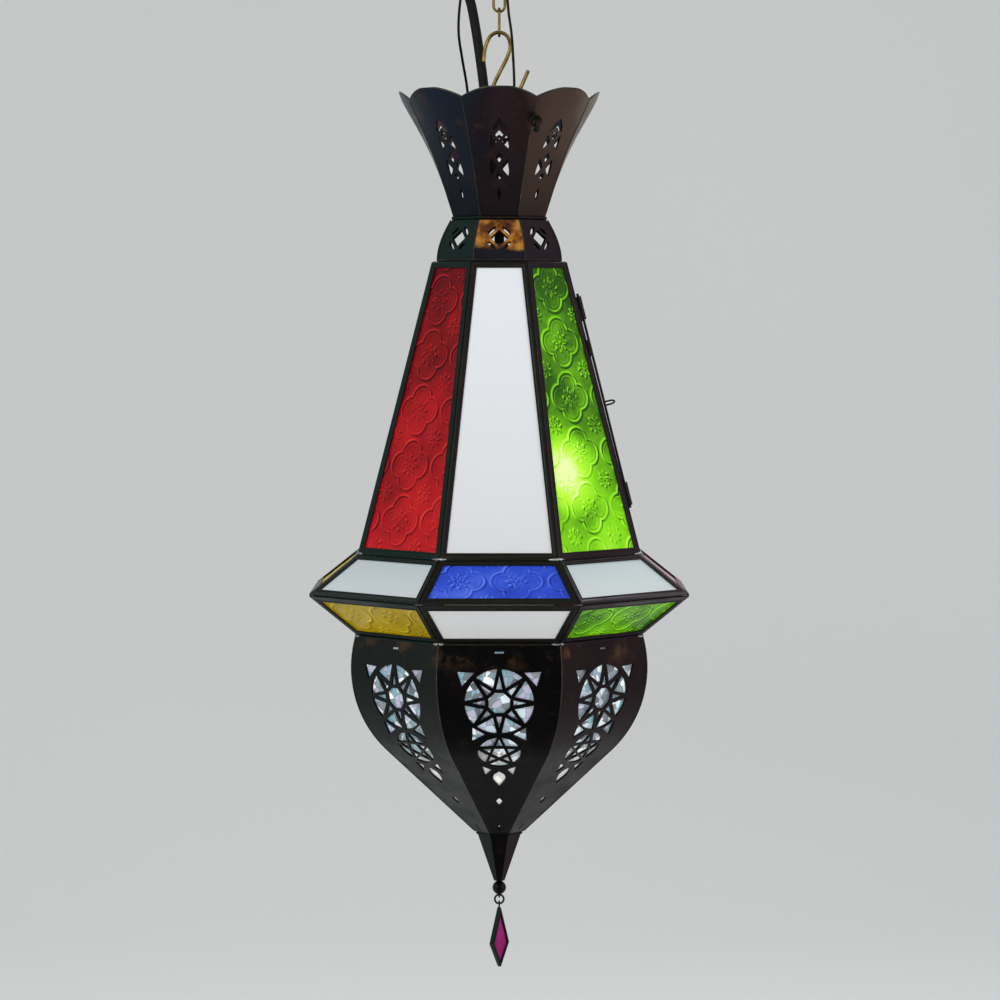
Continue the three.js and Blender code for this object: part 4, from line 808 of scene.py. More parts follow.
def star(centre, radius, rays, core, strap):
    """The openings of a star in a circle: its middle, its rays, and what lies between ray and circle."""
    step = 2 * math.pi / rays
    rim = radius + strap / 2

    def at(reach, turn):
        return (reach * math.sin(turn), centre - reach * math.cos(turn))

    turns = [i * step for i in range(rays)]
    found = [drawn_in([at(core, turn + step / 2) for turn in turns], strap / 2)]
    for turn in turns:
        ray = [at(core, turn - step / 2), at(core, turn + step / 2), at(rim, turn)]
        arc = [at(rim, turn + step * (1 - k / 6)) for k in range(7)]
        gap = [at(core, turn + step / 2), *arc]
        found += [drawn_in(ray, strap / 2), drawn_in(gap, strap / 2)]
    return found


# Bowl

BOWL_TOP = levels("pierced_bowl")[1]
BOWL_CURVE = 80
BOWL_CENTRE = 18.9
BOWL_RISE = 21.2
BOWL_EQUATOR = BOWL_TOP + SEAT - BOWL_RISE
RIM_ANGLE = -math.asin(BOWL_RISE / BOWL_CURVE)
CONE_START = BOWL_CURVE * (math.pi / 4 - RIM_ANGLE)
BOWL_WALL = 1.3
BOWL_TIP_FLAT = 16.6
BOWL_LENGTH = CONE_START + (BOWL_CENTRE + BOWL_CURVE * math.sqrt(0.5) - BOWL_TIP_FLAT) * math.sqrt(2)


def on_bowl(down, depth=0.0):
    """The distance to the flat and the height, a length down the bowl's face and a depth into its wall."""
    past = max(down - CONE_START, 0) * math.sqrt(0.5)
    turn = RIM_ANGLE + min(down, CONE_START) / BOWL_CURVE
    radius = BOWL_CURVE - depth
    return (
        BOWL_CENTRE + radius * math.cos(turn) - past, BOWL_EQUATOR - radius * math.sin(turn) - past,
    )


def place_on_bowl(x, down, depth):
    flat, z = on_bowl(down, depth)
    outer, _ = on_bowl(down)
    return (x * flat / outer, -flat, z)


def bowl_openings():
    corner_piece = [(-27.6, 18), (-24.6, 27.6), (-16.4, 18.6)]
    side_piece = [(-17.6, 56.6), (-17.8, 67.8), (-8.8, 62.3)]
    foot_piece = [(-11.2, 93), (-9.2, 103), (-4.8, 96.6)]
    kite = [(0, 98.4), (-3.4, 101.6), (-4.3, 105), (-3.6, 108.4), (0, 115.2), (3.6, 108.4), (4.3, 105), (3.4, 101.6)]
    lozenge = [(0, 127.8), (-1.8, 130.4), (-1.8, 133.4), (0, 136.4), (1.8, 133.4), (1.8, 130.4)]
    rim_slit = [(-3, 4.8), (-3, 6), (3, 6), (3, 4.8)]
    tip_slit = [(-0.5, 159), (-0.5, 164.4), (0.5, 164.4), (0.5, 159)]
    pairs = [corner_piece, side_piece, foot_piece]
    pairs += [mirrored(piece) for piece in pairs]
    stars = star(39, 22.8, 8, 8.9, 2.3) + star(78.9, 14.2, 5, 6.4, 1.7)
    return [*stars, *pairs, kite, lozenge, rim_slit, tip_slit]


def octagon(profile, scale=CORNER):
    """Eight flat faces, from a profile of (distance from the axis to a face, z)."""
    return rings_to_skin([[(*facing(turn, flat * scale), z) for flat, z in profile] for turn in CORNER_TURNS])


def lip(outer, inner, top, thick):
    """A flat eight-sided ring."""
    return octagon([(outer, top), (outer, top - thick), (inner, top - thick), (inner, top)])


def seam_point(flat, z):
    return flat * HALF_FACE, -flat, z


def bowl():
    edge = [(on_bowl(d)[0] * HALF_FACE - 0.12, d) for d in np.linspace(SEAT, BOWL_LENGTH, 40)]
    panel = pierced_sheet(edge + mirrored(edge), bowl_openings(), 3.2, place_on_bowl, BOWL_WALL)
    rim_flat, rim_z = on_bowl(SEAT)
    sheet = merged([all_round(panel), lip(rim_flat, rim_flat - 4, rim_z, BOWL_WALL)])
    dress("pierced_bowl_sheet", sheet, BOWL_METAL, nodes=["pierced_bowl"], sharp=30)
    seam = [seam_point(*on_bowl(d, 0.1)) for d in np.linspace(1, BOWL_LENGTH - 0.5, 44)]
    dress("bowl_seams", all_round(tube(seam, 0.4, 8, rounded=0.3)), SEAM)


LINER_DEPTH = 1.5 + SEAT
LINER_GLASS = 2


def bowl_liner():
    """The glass behind the openings, finer than the solid that it stands for."""
    front, back = [
        [on_bowl(down, depth) for down in np.linspace(9.2, 150, 34)]
        for depth in (LINER_DEPTH, LINER_DEPTH + LINER_GLASS)
    ]
    dress("liner_pane", octagon(front + back[::-1]), glass("clear"), nodes=["bowl_liner_glass"], sharp=20)


bowl()
bowl_liner()

# Crown and collar

CROWN_BASE = levels("crown")[0] - SEAT
CROWN_NOTCH = 6.6
CROWN_WALL = 1.2
PETAL_BOW = 6.3


def place_on_petal(x, height, depth):
    share = height / CROWN_HEIGHT
    flat = crown_flat(share)
    half = flat * HALF_FACE
    bow = PETAL_BOW * share**2 * max(0, 1 - (x / half) ** 2)
    return (x * (flat - depth) / flat, -(flat + bow - depth), CROWN_BASE + height)


def scallop(steps=18):
    notch = CROWN_HEIGHT - CROWN_NOTCH
    half = crown_flat(notch / CROWN_HEIGHT) * HALF_FACE - 0.12
    radius = (half**2 + CROWN_NOTCH**2) / (2 * CROWN_NOTCH)
    reach = math.asin(half / radius)
    turns = [reach * (2 * i / steps - 1) for i in range(steps + 1)]
    return [(radius * math.sin(t), CROWN_HEIGHT - radius + radius * math.cos(t)) for t in turns]


def petal_openings():
    cap = [(0, 65.2), (-3.6, 61.4), (-5.8, 56.9), (-2.9, 57), (0, 59.4), (2.9, 57), (5.8, 56.9), (3.6, 61.4)]
    upper_leaf = [(6, 54.8), (3.2, 51.6), (1.9, 49.8), (3.4, 47.6), (6.2, 45.2), (6.9, 50)]
    lower_leaf = [(6, 39.4), (3, 35.8), (1.6, 33.4), (3, 30.8), (6.2, 27.4), (6.9, 33.4)]

    def lozenge(middle, tall, wide):
        return [(0, middle + tall), (-wide, middle), (0, middle - tall), (wide, middle)]

    slit = [(0, 20.2), (-1, 17.8), (-1.25, 16), (-1, 14.2), (0, 11.8), (1, 14.2), (1.25, 16), (1, 17.8)]
    return [
        cap, lozenge(54, 2.9, 2.7), upper_leaf, mirrored(upper_leaf), lozenge(39.8, 3.5, 2.7), lower_leaf,
        mirrored(lower_leaf), lozenge(27.6, 2.4, 2.3), slit,
    ]


def crown():
    heights = np.linspace(SEAT, CROWN_HEIGHT - CROWN_NOTCH, 24)[:-1]
    edge = [(crown_flat(h / CROWN_HEIGHT) * HALF_FACE - 0.12, h) for h in heights]
    outline = edge + scallop()[::-1] + mirrored(edge)
    petal = pierced_sheet(outline, petal_openings(), 2.8, place_on_petal, CROWN_WALL)
    dress("petal_sheets", all_round(petal), CROWN_METAL, nodes=["crown"], sharp=30)
    rim = [place_on_petal(x, min(h, CROWN_HEIGHT - 0.5), 0.6) for x, h in scallop()]
    heights = np.linspace(0.8, CROWN_HEIGHT - CROWN_NOTCH - 0.4, 28)
    seam = [seam_point(crown_flat(h / CROWN_HEIGHT) - 0.1, CROWN_BASE + h) for h in heights]
    beads = [all_round(tube(line, radius, sides, rounded=0.3)) for line, radius, sides in (
        (rim, 0.68, 10), (seam, 0.4, 8),
    )]
    dress("petal_edges", merged(beads), SEAM)


COLLAR_FOOT, COLLAR_TOP = levels("collar")
COLLAR_HEIGHT = 29
COLLAR_FLAT = 31.8
COLLAR_SWELL = 9.8


def collar_flat(height):
    share = 1 - (height - COLLAR_FOOT) / (COLLAR_HEIGHT - SEAT)
    return COLLAR_FLAT + COLLAR_SWELL * math.sin(share * math.pi / 2)


def place_on_collar(x, height, depth):
    flat = collar_flat(height)
    return (x * (flat - depth) / flat, -(flat - depth), height)


def collar_openings():
    """A lozenge, with a lens-shaped slot along each of its sides."""
    middle = COLLAR_FOOT - SEAT + 15.4
    half, tall, bar, slot_length, slot_width = 6.0, 5.7, 1.7, 7.6, 2.4
    side = math.hypot(half, tall)
    slot = []
    for i in range(16):
        turn = i * math.pi / 8
        along = math.cos(turn) * slot_length / (2 * side)
        out = (bar + (1 + math.sin(turn)) * slot_width / 2) / side
        slot.append((half * (0.5 + along) + tall * out, tall * (0.5 - along) + half * out))
    opposite = [(-x, -y) for x, y in slot]
    lozenge = [(0, tall), (-half, 0), (0, -tall), (half, 0)]
    loops = [lozenge, slot, opposite, mirrored(slot), mirrored(opposite)]
    return [[(x, y + middle) for x, y in loop] for loop in loops]


def collar():
    heights = np.linspace(COLLAR_FOOT, COLLAR_TOP - 0.4, 14)
    edge = [(collar_flat(h) * HALF_FACE - 0.1, h) for h in heights]
    panel = pierced_sheet(edge + mirrored(edge), collar_openings(), 2.2, place_on_collar, 1.2)
    others = merged([all_round(panel, FACES[1:]), lip(COLLAR_FLAT, 27.4, COLLAR_TOP, 1)])
    # Only the front face carries the painted copper and gold highlight.
    dress("collar_front", panel, COLLAR_METAL, nodes=["collar"], sharp=30)
    dress("collar_sheets", others, METAL, nodes=["collar"], sharp=30)
    seam = [seam_point(collar_flat(h), h) for h in heights]
    flat = collar_flat(COLLAR_FOOT)
    foot = [(flat * HALF_FACE * k / 6, -flat + 0.3, COLLAR_FOOT + 0.5) for k in range(-6, 7)]
    beads = merged([tube(seam, 0.5, 8, rounded=0.3), tube(foot, 0.6, 8, rounded=0.3)])
    dress("collar_seams", all_round(beads), SEAM)


crown()
collar()

# Body, door and belts

CAME_WIDTH = 4.4
RIM_CAME_WIDTH = 6.8
CAME_WALL = 3.2
CAME_LIP = 1
GLASS_LAP = 1.8
GLASS_THICK = 1.4
SIDE_MITRE = math.tan(EIGHTH / 2)


class Ring:
    """A ring of sloping faces between two heights."""

    def __init__(self, top_flat, top_z, foot_flat, foot_z, top_came, foot_came, mitres=(0, 0)):
        self.top_flat, self.top_z, self.foot_flat, self.foot_z = top_flat, top_z, foot_flat, foot_z
        self.length = math.hypot(foot_flat - top_flat, top_z - foot_z)
        self.down = (-(foot_flat - top_flat) / self.length, (foot_z - top_z) / self.length)
        self.out = (self.down[1], -self.down[0])
        self.taper = (foot_flat - top_flat) / self.length * HALF_FACE
        self.cames = (top_came, foot_came)
        self.mitres = mitres

    def half(self, down):
        return self.top_flat * HALF_FACE + self.taper * down

    def at(self, x, down, out):
        """A point of the front face: across, down its slope and out of it."""
        y = -self.top_flat + self.down[0] * down + self.out[0] * out
        return (x, y, self.top_z + self.down[1] * down + self.out[1] * out)

    def outline(self, sides, top, foot):
        """The corners of the face drawn in from its sides, top and foot."""
        drawn = sides * math.hypot(1, self.taper)
        low = self.length - foot
        wide, narrow = self.half(low) - drawn, self.half(top) - drawn
        return [(-narrow, top), (-wide, low), (wide, low), (narrow, top)]


BODY = Ring(45.3, -238.6, 94.5, -433.2, CAME_WIDTH, CAME_WIDTH, (0, 0.27))
UPPER_BELT = Ring(94.5, -433.5, 127.3, -460, CAME_WIDTH, RIM_CAME_WIDTH, (0, 1.2))
LOWER_BELT = Ring(127.3, -460.3, 95.2, -488.2, RIM_CAME_WIDTH, CAME_WIDTH, (1.2, 0))

# A came's section: the share of its width from the seam, and the height; a rounded bead over a flat back
CAME_SECTION = [
    (0.0, -CAME_WALL), (0.0, -1.0), (0.04, -0.55), (0.13, -0.2), (0.28, -0.02), (0.45, 0.0), (0.6, -0.1),
    (0.68, -0.34), (0.74, -0.36), (0.8, -0.16), (0.88, -0.1), (0.95, -0.2), (1.0, -0.5), (1.0, -CAME_LIP),
    (0.53, -CAME_LIP), (0.53, -CAME_WALL),
]


def came_frame(ring, sides=0.0, ends=0.0, widths=None):
    """The mitred came round one pane, made for the front face."""
    side_width, top_width, foot_width = widths or (CAME_WIDTH, *ring.cames)
    top_mitre, foot_mitre = ring.mitres if ends == 0 else (0, 0)
    side_mitre = SIDE_MITRE if sides == 0 else 0
    rings = []
    for share, height in CAME_SECTION:
        depth = -height * (1 - share)
        loop = ring.outline(
            sides + share * side_width + depth * side_mitre,
            ends + share * top_width + depth * top_mitre,
            ends + share * foot_width + depth * foot_mitre,
        )
        rings.append([ring.at(x, down, height) for x, down in loop])
    return rings_to_skin(rings)


PITCH = 37.5
FLOWER, ROSETTE = 6.4, 5.4
LOBE_RADIUS, LOBE_REACH = 8.6, 8.2


def pressed(x, y):
    """The relief of pressed glass: quatrefoils round a flower, with small rosettes between them."""

    def flower(shift, size):
        dx, dy = [(c - shift + PITCH / 2) % PITCH - PITCH / 2 for c in (x, y)]
        r, turn = np.hypot(dx, dy), np.arctan2(dy, dx)
        edge = size * (0.72 + 0.28 * np.cos(8 * turn))
        petals = np.exp(-((r - edge) / 0.65) ** 2)
        return dx, dy, petals + 0.9 * np.exp(-((r / (size * 0.2)) ** 2))

    dx, dy, bloom = flower(0, FLOWER)
    _, _, rosette = flower(PITCH / 2, ROSETTE)
    lobes = ((-LOBE_REACH, 0), (LOBE_REACH, 0), (0, -LOBE_REACH), (0, LOBE_REACH))
    far = np.minimum.reduce([np.hypot(dx + a, dy + b) for a, b in lobes]) - LOBE_RADIUS
    outline = np.exp(-((far / 0.75) ** 2)) + 0.3 * np.exp(-(((far + 2.6) / 0.6) ** 2))
    return np.clip(np.maximum.reduce([outline, bloom, rosette]), 0, 1)


PLAIN_GLASS = ("opal", "frosted")
PLAIN_STEP = 6.0
PRESSED_STEP = 0.9
PRESSED_HEIGHT = 0.32
LIT_SIDE = 0.45


def pane(name, ring, face, colour, node, body="lamp", sides=0.0, ends=0.0, offset=(0, 0)):
    """One pane with the relief pressed into its front, behind the came's lip."""
    insets = [ends + came - GLASS_LAP for came in ring.cames]
    (_, top), (_, low), (wide, _), (narrow, _) = ring.outline(sides + CAME_WIDTH - GLASS_LAP, *insets)
    height, step = (0.0, PLAIN_STEP) if colour in PLAIN_GLASS else (PRESSED_HEIGHT, PRESSED_STEP)
    across = max(6, int(2 * max(narrow, wide) / step))
    along = max(6, int((low - top) / step))
    v, u = np.meshgrid(np.linspace(0, 1, along + 1), np.linspace(-1, 1, across + 1), indexing="ij")
    down = top + (low - top) * v
    x = u * (narrow + (wide - narrow) * v)
    relief, lit = np.zeros_like(x), np.zeros_like(x)
    if height:
        u, v = x + offset[0], down + offset[1]
        relief = pressed(u, v)
        # lit is painted light and shade: each line of the relief lighter on one side and darker on the other.
        lit = pressed(u + LIT_SIDE, v + LIT_SIDE) - pressed(u - LIT_SIDE, v - LIT_SIDE)
    front = -(CAME_LIP + SEAT)
    out = front - height + height * relief
    points = [ring.at(*p) for p in zip(x.ravel(), down.ravel(), out.ravel())]
    number = np.arange(len(points)).reshape(x.shape)
    corners = (number[:-1, :-1], number[:-1, 1:], number[1:, 1:], number[1:, :-1])
    faces = list(zip(*(corner.ravel().tolist() for corner in corners)))
    border = np.concatenate([number[0], number[1:, -1], number[-1, -2::-1], number[-2:0:-1, 0]]).tolist()
    back = range(len(points), len(points) + len(border))
    faces += zip(border, border[1:] + border[:1], [*back[1:], back[0]], back)
    faces.append(tuple(back))
    points += [ring.at(x.flat[k], down.flat[k], front - GLASS_THICK) for k in border]
    piece = dress(name, turned((points, faces), face), glass(colour), body, [node], 50)
    # The relief attribute carries lit, the painted light and shade, to the glass.
    values = np.concatenate([lit.ravel(), np.zeros(len(border))]).astype(np.float32)
    piece.data.attributes.new("relief", "FLOAT", "POINT").data.foreach_set("value", values)


def body():
    closed_faces = [face for face in FACES if face != DOOR_FACE]
    doorway = turned(came_frame(BODY, widths=(0.3, 3, 3)), DOOR_FACE)
    parts = [all_round(came_frame(BODY), closed_faces), doorway, lip(44.3, 33, BODY.top_z, 1.6)]
    parts += hinge_parts(DOOR_FACE + 1, KNUCKLE + SEAT)
    dress("body_cames", merged(parts), METAL, nodes=["body_frame"], sharp=28)
    for face in closed_faces:
        colour = BODY_GLASS[face]
        offset = (0, 19.8) if colour == "green" else (6, 11)
        pane(f"body_pane_{face * 45}", BODY, face, colour, f"body_glass_{face * 45}", offset=offset)


def belts():
    for belt, ring, colours in (
        ("upper_belt", UPPER_BELT, UPPER_BELT_GLASS), ("lower_belt", LOWER_BELT, LOWER_BELT_GLASS),
    ):
        dress(f"{belt}_cames", all_round(came_frame(ring)), METAL, nodes=[f"{belt}_frame"], sharp=28)
        for face, colour in enumerate(colours):
            node = f"{belt}_glass_{face * 45}"
            pane(f"{belt}_pane_{face * 45}", ring, face, colour, node, offset=(-11.6, 18.8))


def octagon_corners(flat, z):
    return [(*facing(turn, flat * CORNER), z) for turn in CORNER_TURNS]


def solder_beads():
    """The beads that close the joints from the crown down to the bowl."""
    beads = (31.2, CROWN_BASE + 0.2, 1.0), (94.3, -433.4, 0.8), (95.4, -488.6, 1.0)
    parts = [
        tube(finer(octagon_corners(flat, z), parts=8), radius, 10, closed=True) for flat, z, radius in beads
    ]
    dress("solder_beads", merged(parts), METAL)


def glint_runs():
    """Short bright runs shaped as solder that wrap the corners of the belts: painted glints that stand for the light
    caught on the came edges.
    """
    parts = []
    for flat, z, reach, radius in (
        (94.5, -433.3, 7.0, 1.15), (124.6, -460.1, 4.0, 1.3), (95.6, -488.5, 6.0, 1.25),
    ):
        corners = [np.array(p) for p in octagon_corners(flat, z)]
        for i, corner in enumerate(corners):
            before, after = corners[i - 1] - corner, corners[(i + 1) % 8] - corner
            size = np.linalg.norm(before)
            steps = ((before, reach), (before, 1.5), (after, 1.5), (after, reach * 0.7))
            line = [corner + way / size * step for way, step in steps]
            parts.append(tube(line, lambda t, r=radius: r * (0.45 + 0.55 * math.sin(math.pi * t)), 8, rounded=0.6))
    dress("glint_runs", merged(parts), GLINT_METAL, sharp=60)


# Door

DOOR_INSET = 0.9
DOOR_END = 3.6
HINGE_OFFSET = 2.6
HINGE_RADIUS = 2.1
KNUCKLE = 8.0
PIN_RADIUS = 0.9
PIN_OUT = 2


def corner_frame(corner):
    """The foot of a corner line of the body, and its directions along and out."""
    out = np.array([*facing(CORNER_TURNS[corner]), 0])
    top = out * BODY.top_flat * CORNER + (0, 0, BODY.top_z)
    foot = out * BODY.foot_flat * CORNER + (0, 0, BODY.foot_z)
    along = (top - foot) / np.linalg.norm(top - foot)
    across = np.cross(out, along)
    return foot, along, np.cross(along, across / np.linalg.norm(across))


def leaf(corner, face, raised, length, reach=9.0):
    """A flat leaf from a corner line onto a face."""
    foot, along, _ = corner_frame(corner)
    out = np.array([*facing(face * EIGHTH), 0])
    normal = out * -BODY.out[0] + (0, 0, BODY.out[1])
    inward = np.cross(normal, along)
    if inward.dot(out * BODY.foot_flat + (0, 0, BODY.foot_z) - foot) < 0:
        inward = -inward
    inward /= np.linalg.norm(inward)
    section = [(1.4, -0.6), (reach - 0.5, -0.6), (reach, -0.2), (reach, 1.1), (reach - 0.4, 1.4), (-1, 1.4),
               (-1, 0.45), (1.4, 0.45)]
    rings = [
        [foot + along * (raised + z) + inward * x + normal * y for x, y in section] for z in (0, length)
    ]
    return rings_to_skin(rings, closed=False, capped=True)


def about_hinge(radius, start, end, sides=20):
    foot, along, normal = corner_frame(DOOR_FACE)
    base = foot + normal * HINGE_OFFSET
    return tube([base + along * start, base + along * end], radius, sides)


HINGE_HEIGHTS = [share * BODY.length for share in (0.14, 0.8)]


def hinge_parts(face, raised):
    parts = []
    for height in HINGE_HEIGHTS:
        start = height + raised
        parts.append(leaf(DOOR_FACE, face, start, KNUCKLE))
        parts.append(about_hinge(HINGE_RADIUS, start, start + KNUCKLE))
    return parts


def door():
    frame_part = turned(came_frame(BODY, DOOR_INSET, DOOR_END, (CAME_WIDTH,) * 3), DOOR_FACE)
    catch = leaf(DOOR_FACE - 1, DOOR_FACE, BODY.length * 0.68, 11)
    parts = merged([frame_part, catch, *hinge_parts(DOOR_FACE, 0)])
    dress("door_cames", parts, METAL, "door", ["door_frame"], 28)
    pane("door_pane", BODY, DOOR_FACE, "opal", "door_glass", "door", DOOR_INSET, DOOR_END)
    pin_foot, pin_top = HINGE_HEIGHTS[0] - PIN_OUT, HINGE_HEIGHTS[1] + 2 * KNUCKLE + SEAT + PIN_OUT
    dress("hinge_pin", about_hinge(PIN_RADIUS, pin_foot, pin_top, 14), METAL, nodes=["door_hinge_pin"])
    down = BODY.length * 0.49
    x = -(BODY.half(down) - CAME_WIDTH / 2 - DOOR_INSET)
    hairpin = [(-1.2, SEAT), (-1.2, 4), (-0.96, 6.8), (0, 8), (0.96, 6.8), (1.2, 4), (1.2, SEAT)]
    line = catmull([BODY.at(x, down - off, out) for off, out in hairpin], 6)
    dark_wire, _ = DARK_WIRE
    dress("wire_pull", turned(tube(line, 0.6, 10), DOOR_FACE), (dark_wire, "steel"), "door", ["door_pull"])


body()
belts()
solder_beads()
glint_runs()
door()

# Finial and drop

BALL_RADIUS = 4.7
BALL_Z = -664.94
EYE_Z = BALL_Z - BALL_RADIUS
RING_Z = -672.99
RING_RADIUS = 3.05
DROP_EYE = -676.34
DROP_TOP = -678.24
DROP_HEIGHT, DROP_WIDEST, DROP_HALF, DROP_THICK = 41.4, 25, 8, 4.5
DROP_CAME = 1.8


def finial():
    top, tip = levels("finial_cone")[::-1]
    cone = octagon([
        (15.6, top), (14.4, top - 2.4), (3.6, tip), (0.01, tip), (0.01, tip + 4.8), (3, tip + 5), (14.2, top),
    ])
    outer, inner = 15.7 * CORNER, 14.2 * CORNER
    profile = [(outer, top), (outer, top - 1.6), (inner, top - 1.6), (inner, top)]
    parts = merged([cone, octagon(rounded_profile(profile, 0.4, 2), 1)])
    dress("cone_tip", parts, BOWL_METAL, nodes=["finial_cone"], sharp=20)
    turns = [math.pi * (i / 20 - 0.5) for i in range(21)]
    ball = lathe([(BALL_RADIUS * math.cos(t), BALL_Z + BALL_RADIUS * math.sin(t)) for t in turns], 28)
    dress("ball_and_eye", merged([ball, eye_ring(EYE_Z)]), BOWL_METAL, nodes=["finial_ball"])


def eye_ring(middle):
    """A small round eye whose hole runs along X."""
    return tube([(0, y, z + middle) for y, z in circle(1.9, 24)], 0.6, 10, closed=True)


def drop():
    ring = tube([(x, 0, z + RING_Z) for x, z in circle(RING_RADIUS, 36)], 0.68, 12, closed=True)
    dress("drop_link", ring, METAL, "drop_ring", ["drop_ring"])
    kite = [(0, 0), (-DROP_HALF, -DROP_WIDEST), (0, -DROP_HEIGHT), (DROP_HALF, -DROP_WIDEST)]

    def loop(inset, out):
        """The kite drawn in, and turned 45 degrees about the axis."""
        c = math.sqrt(0.5)
        return [(c * (x - out), c * (x + out), DROP_TOP + z) for x, z in drawn_in(kite, inset)]

    section = [
        (0, -0.35), (0, 0.35), (0.12, 0.8), (0.5, 1), (0.85, 0.8), (1, 0.45), (1, -0.45), (0.85, -0.8),
        (0.5, -1), (0.12, -0.8),
    ]
    frame_part = rings_to_skin([
        loop(max(share * DROP_CAME, 0.02), side * DROP_THICK / 2) for share, side in section
    ])
    dress("drop_came", merged([frame_part, eye_ring(DROP_EYE)]), METAL, "drop", ["drop_frame"])
    edge, ridge = DROP_CAME * 0.8, DROP_CAME + 2.2
    rings = [loop(ridge, -1.7), loop(edge, -0.8), loop(edge, 0.8), loop(ridge, 1.7)]
    pane_part = rings_to_skin(rings, closed=False, capped=True)
    dress("drop_pane", pane_part, glass("magenta"), "drop", ["drop_glass"], 15)


finial()
drop()

# Ceiling fitting, lampholder and lamp: smooth turned forms for the faceted solids


def turned_piece(name, node, finish, profile, body="lamp", sides=48, centre=(0, 0), radius=0.6):
    dress(name, lathe(rounded_profile(profile, radius), sides, centre), finish, body, [node])


def ceiling_fitting():
    turned_piece("rose_cup", "ceiling_rose", ROSE_PAINT, [
        (2.3, -22), (35, -22), (40, -13.2), (42, -0.3), (40.8, -0.3), (38.8, -13.2), (34.4, -20.8), (2.3, -20.8),
    ], "ceiling_fitting", 72)
    turned_piece("rose_gland", "rose_cord_grip", BLACK_PLASTIC, [
        (3.6, -34.3), (5.5, -34.3), (7, -31.3), (7, -22.3), (4.8, -22.3), (4.8, -19.3), (3.6, -19.3),
    ], "ceiling_fitting", 32, (-24, 12), 0.4)


def lampholder():
    turned_piece("holder_gland", "holder_cord_grip", BLACK_PLASTIC, [
        (5.3, -240.2), (8, -240.2), (8, -230.2), (5.5, -226.2), (3.6, -226.2), (3.6, -233.9), (5.3, -233.9),
    ], sides=32, radius=0.4)
    turned_piece("holder_dome", "holder_cap", BLACK_PLASTIC, [
        (5.3, -256.5), (9.3, -256.5), (17, -264.5), (20, -270.5), (20, -278.5), (18.4, -278.5), (18.4, -270.5),
        (15.2, -266.1), (5.3, -259.5),
    ])
    turned_piece("holder_sleeve", "holder_skirt", BLACK_PLASTIC, [
        (15.4, -278.8), (20, -278.8), (20, -310.8), (21.2, -314.8), (18.4, -314.8), (18.4, -280.4), (15.4, -280.4),
    ])
    turned_piece("nipple_tube", "holder_nipple", STEEL, [
        (3.9, -262.5), (5, -262.5), (5, -234.2), (3.9, -234.2),
    ], sides=32, radius=0.3)


def lamp():
    thread = [(0.01, -285.7), (4.5, -285.7), (10.1, -288.7), (12.4, -290.7)]
    for i in range(5):
        z = -292 - i * 3.6
        thread += [(13.05, z - 0.4), (13.05, z - 1.1), (12.3, z - 2), (12.3, z - 2.9)]
    thread += [(13.05, -311.7), (0.01, -311.7)]
    dress("screw_cap", lathe(thread, 40), STEEL, "bulb", ["lamp_cap"], 50)
    top, centre, radius = -312.0, -364.0, 30.0
    turns = [math.radians(degrees) for degrees in range(50, -90, -6)]
    globe = [
        (0.01, top), (13.1, top), (13.8, top - 8), (15.4, top - 17),
        *((radius * math.cos(t), centre + radius * math.sin(t)) for t in turns), (0.01, centre - radius),
    ]
    dress("lamp_globe", lathe(globe, 48), LAMP_OPAL, "bulb", ["lamp_glass"], 60)


ceiling_fitting()
lampholder()
lamp()

for node, material in (
    ("ceiling_plate", ZINC), ("hook_nut", BRASS[0]), ("holder_bridge", METAL[0]), ("holder_core", CERAMIC),
):
    kept = frame["nodes"][node].data.materials
    kept.clear()
    kept.append(material)

# Stage: a pale floor that runs up into a backdrop, and soft light, in metres

FLOOR_Z = -1.15
FLOOR_DEPTH = 2.4
BACKDROP_BEND = 1.2
STAGE_COLOUR = (0.62, 0.63, 0.62)
SEEN_STRENGTH = 0.38
LIT_POINT = Vector((0, 0, -0.38))


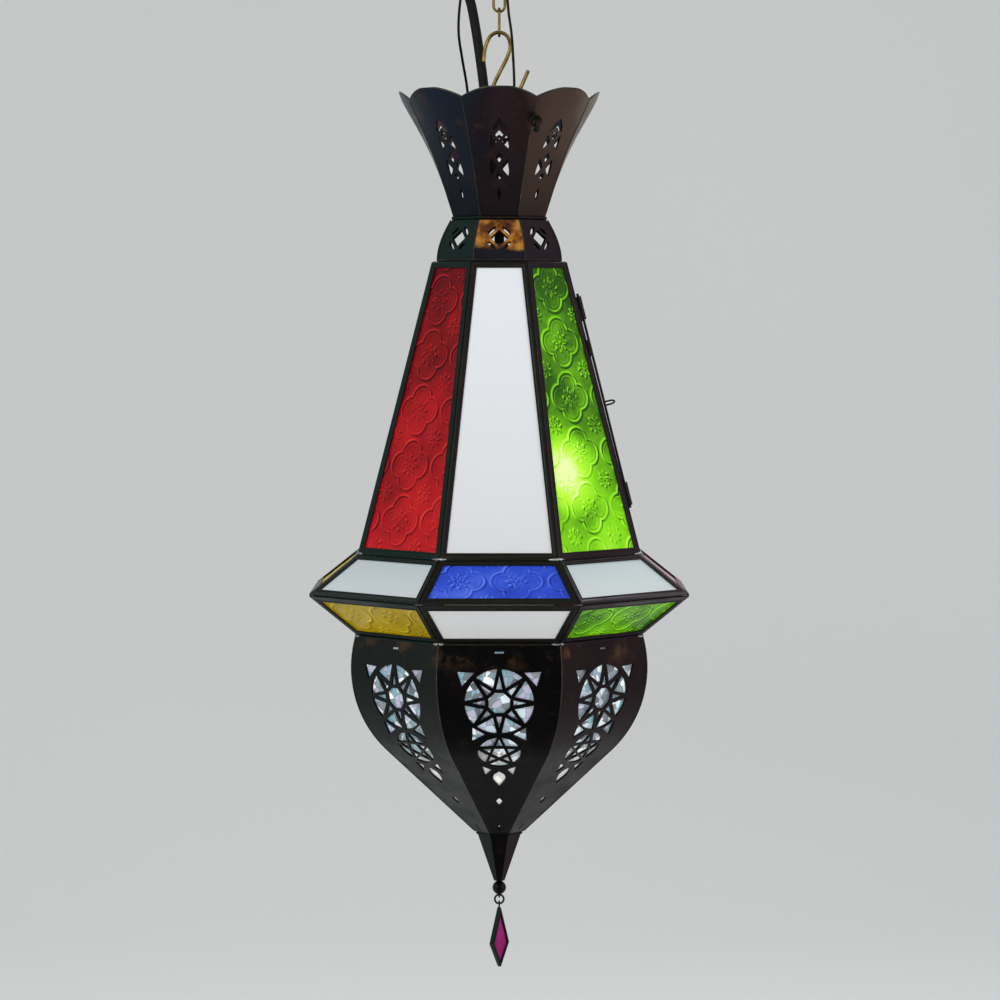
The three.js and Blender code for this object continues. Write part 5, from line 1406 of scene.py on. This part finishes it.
def stage():
    profile = [(-6, FLOOR_Z), (FLOOR_DEPTH, FLOOR_Z)]
    for turn in [math.radians(90 * i / 12) for i in range(13)]:
        up = FLOOR_Z + BACKDROP_BEND - BACKDROP_BEND * math.cos(turn)
        profile.append((FLOOR_DEPTH + BACKDROP_BEND * math.sin(turn), up))
    profile.append((FLOOR_DEPTH + BACKDROP_BEND, 6))
    points = [(x / MM, y / MM, z / MM) for y, z in profile for x in (-7, 7)]
    faces = [(2 * i, 2 * i + 1, 2 * i + 3, 2 * i + 2) for i in range(len(profile) - 1)]
    backdrop = mesh("backdrop", points, faces, outward=False)
    made = Shader("backdrop_paint", Roughness=0.9, Emission_Color=STAGE_COLOUR)
    paler = tuple(c * 1.04 for c in STAGE_COLOUR)
    made.put(
        made.surface, Base_Color=made.ramp(made.noise(0.8, 2), (0.3, STAGE_COLOUR), (0.7, paler)),
        Emission_Strength=made.math("MULTIPLY", made.seen(), SEEN_STRENGTH),
    )
    backdrop.data.materials.append(made.material)
    backdrop.data.shade_smooth()


def soft_light(name, place, size, power):
    light = bpy.data.lights.new(name, "AREA")
    light.shape = "RECTANGLE"
    light.size, light.size_y = size
    light.energy = power
    lamp_object = bpy.data.objects.new(name, light)
    lamp_object.location = place
    lamp_object.rotation_euler = (LIT_POINT - Vector(place)).to_track_quat("-Z", "Y").to_euler()
    bpy.context.scene.collection.objects.link(lamp_object)


def world():
    made = bpy.data.worlds.new("studio")
    made.use_nodes = True
    nodes = Nodes(made.node_tree)
    light = nodes.put(nodes.tree.nodes["Background"], Color=(0.9, 0.92, 0.95), Strength=0.45)
    seen = nodes.add("Background", Color=STAGE_COLOUR)
    mix = nodes.add("MixShader", i0=nodes.seen(), i1=light.outputs[0], i2=seen.outputs[0])
    nodes.put(nodes.tree.nodes["World Output"], Surface=mix.outputs[0])
    bpy.context.scene.world = made


stage()
soft_light("key_light", (-1.6, -2.2, 0.7), (1.6, 1.6), 30)
soft_light("fill_light", (2.0, -1.4, 0.2), (1.4, 1.8), 18)
soft_light("back_light", (0.4, 1.8, 0.9), (1.8, 1.2), 14)
world()

bpy.context.scene.view_settings.view_transform = "Standard"
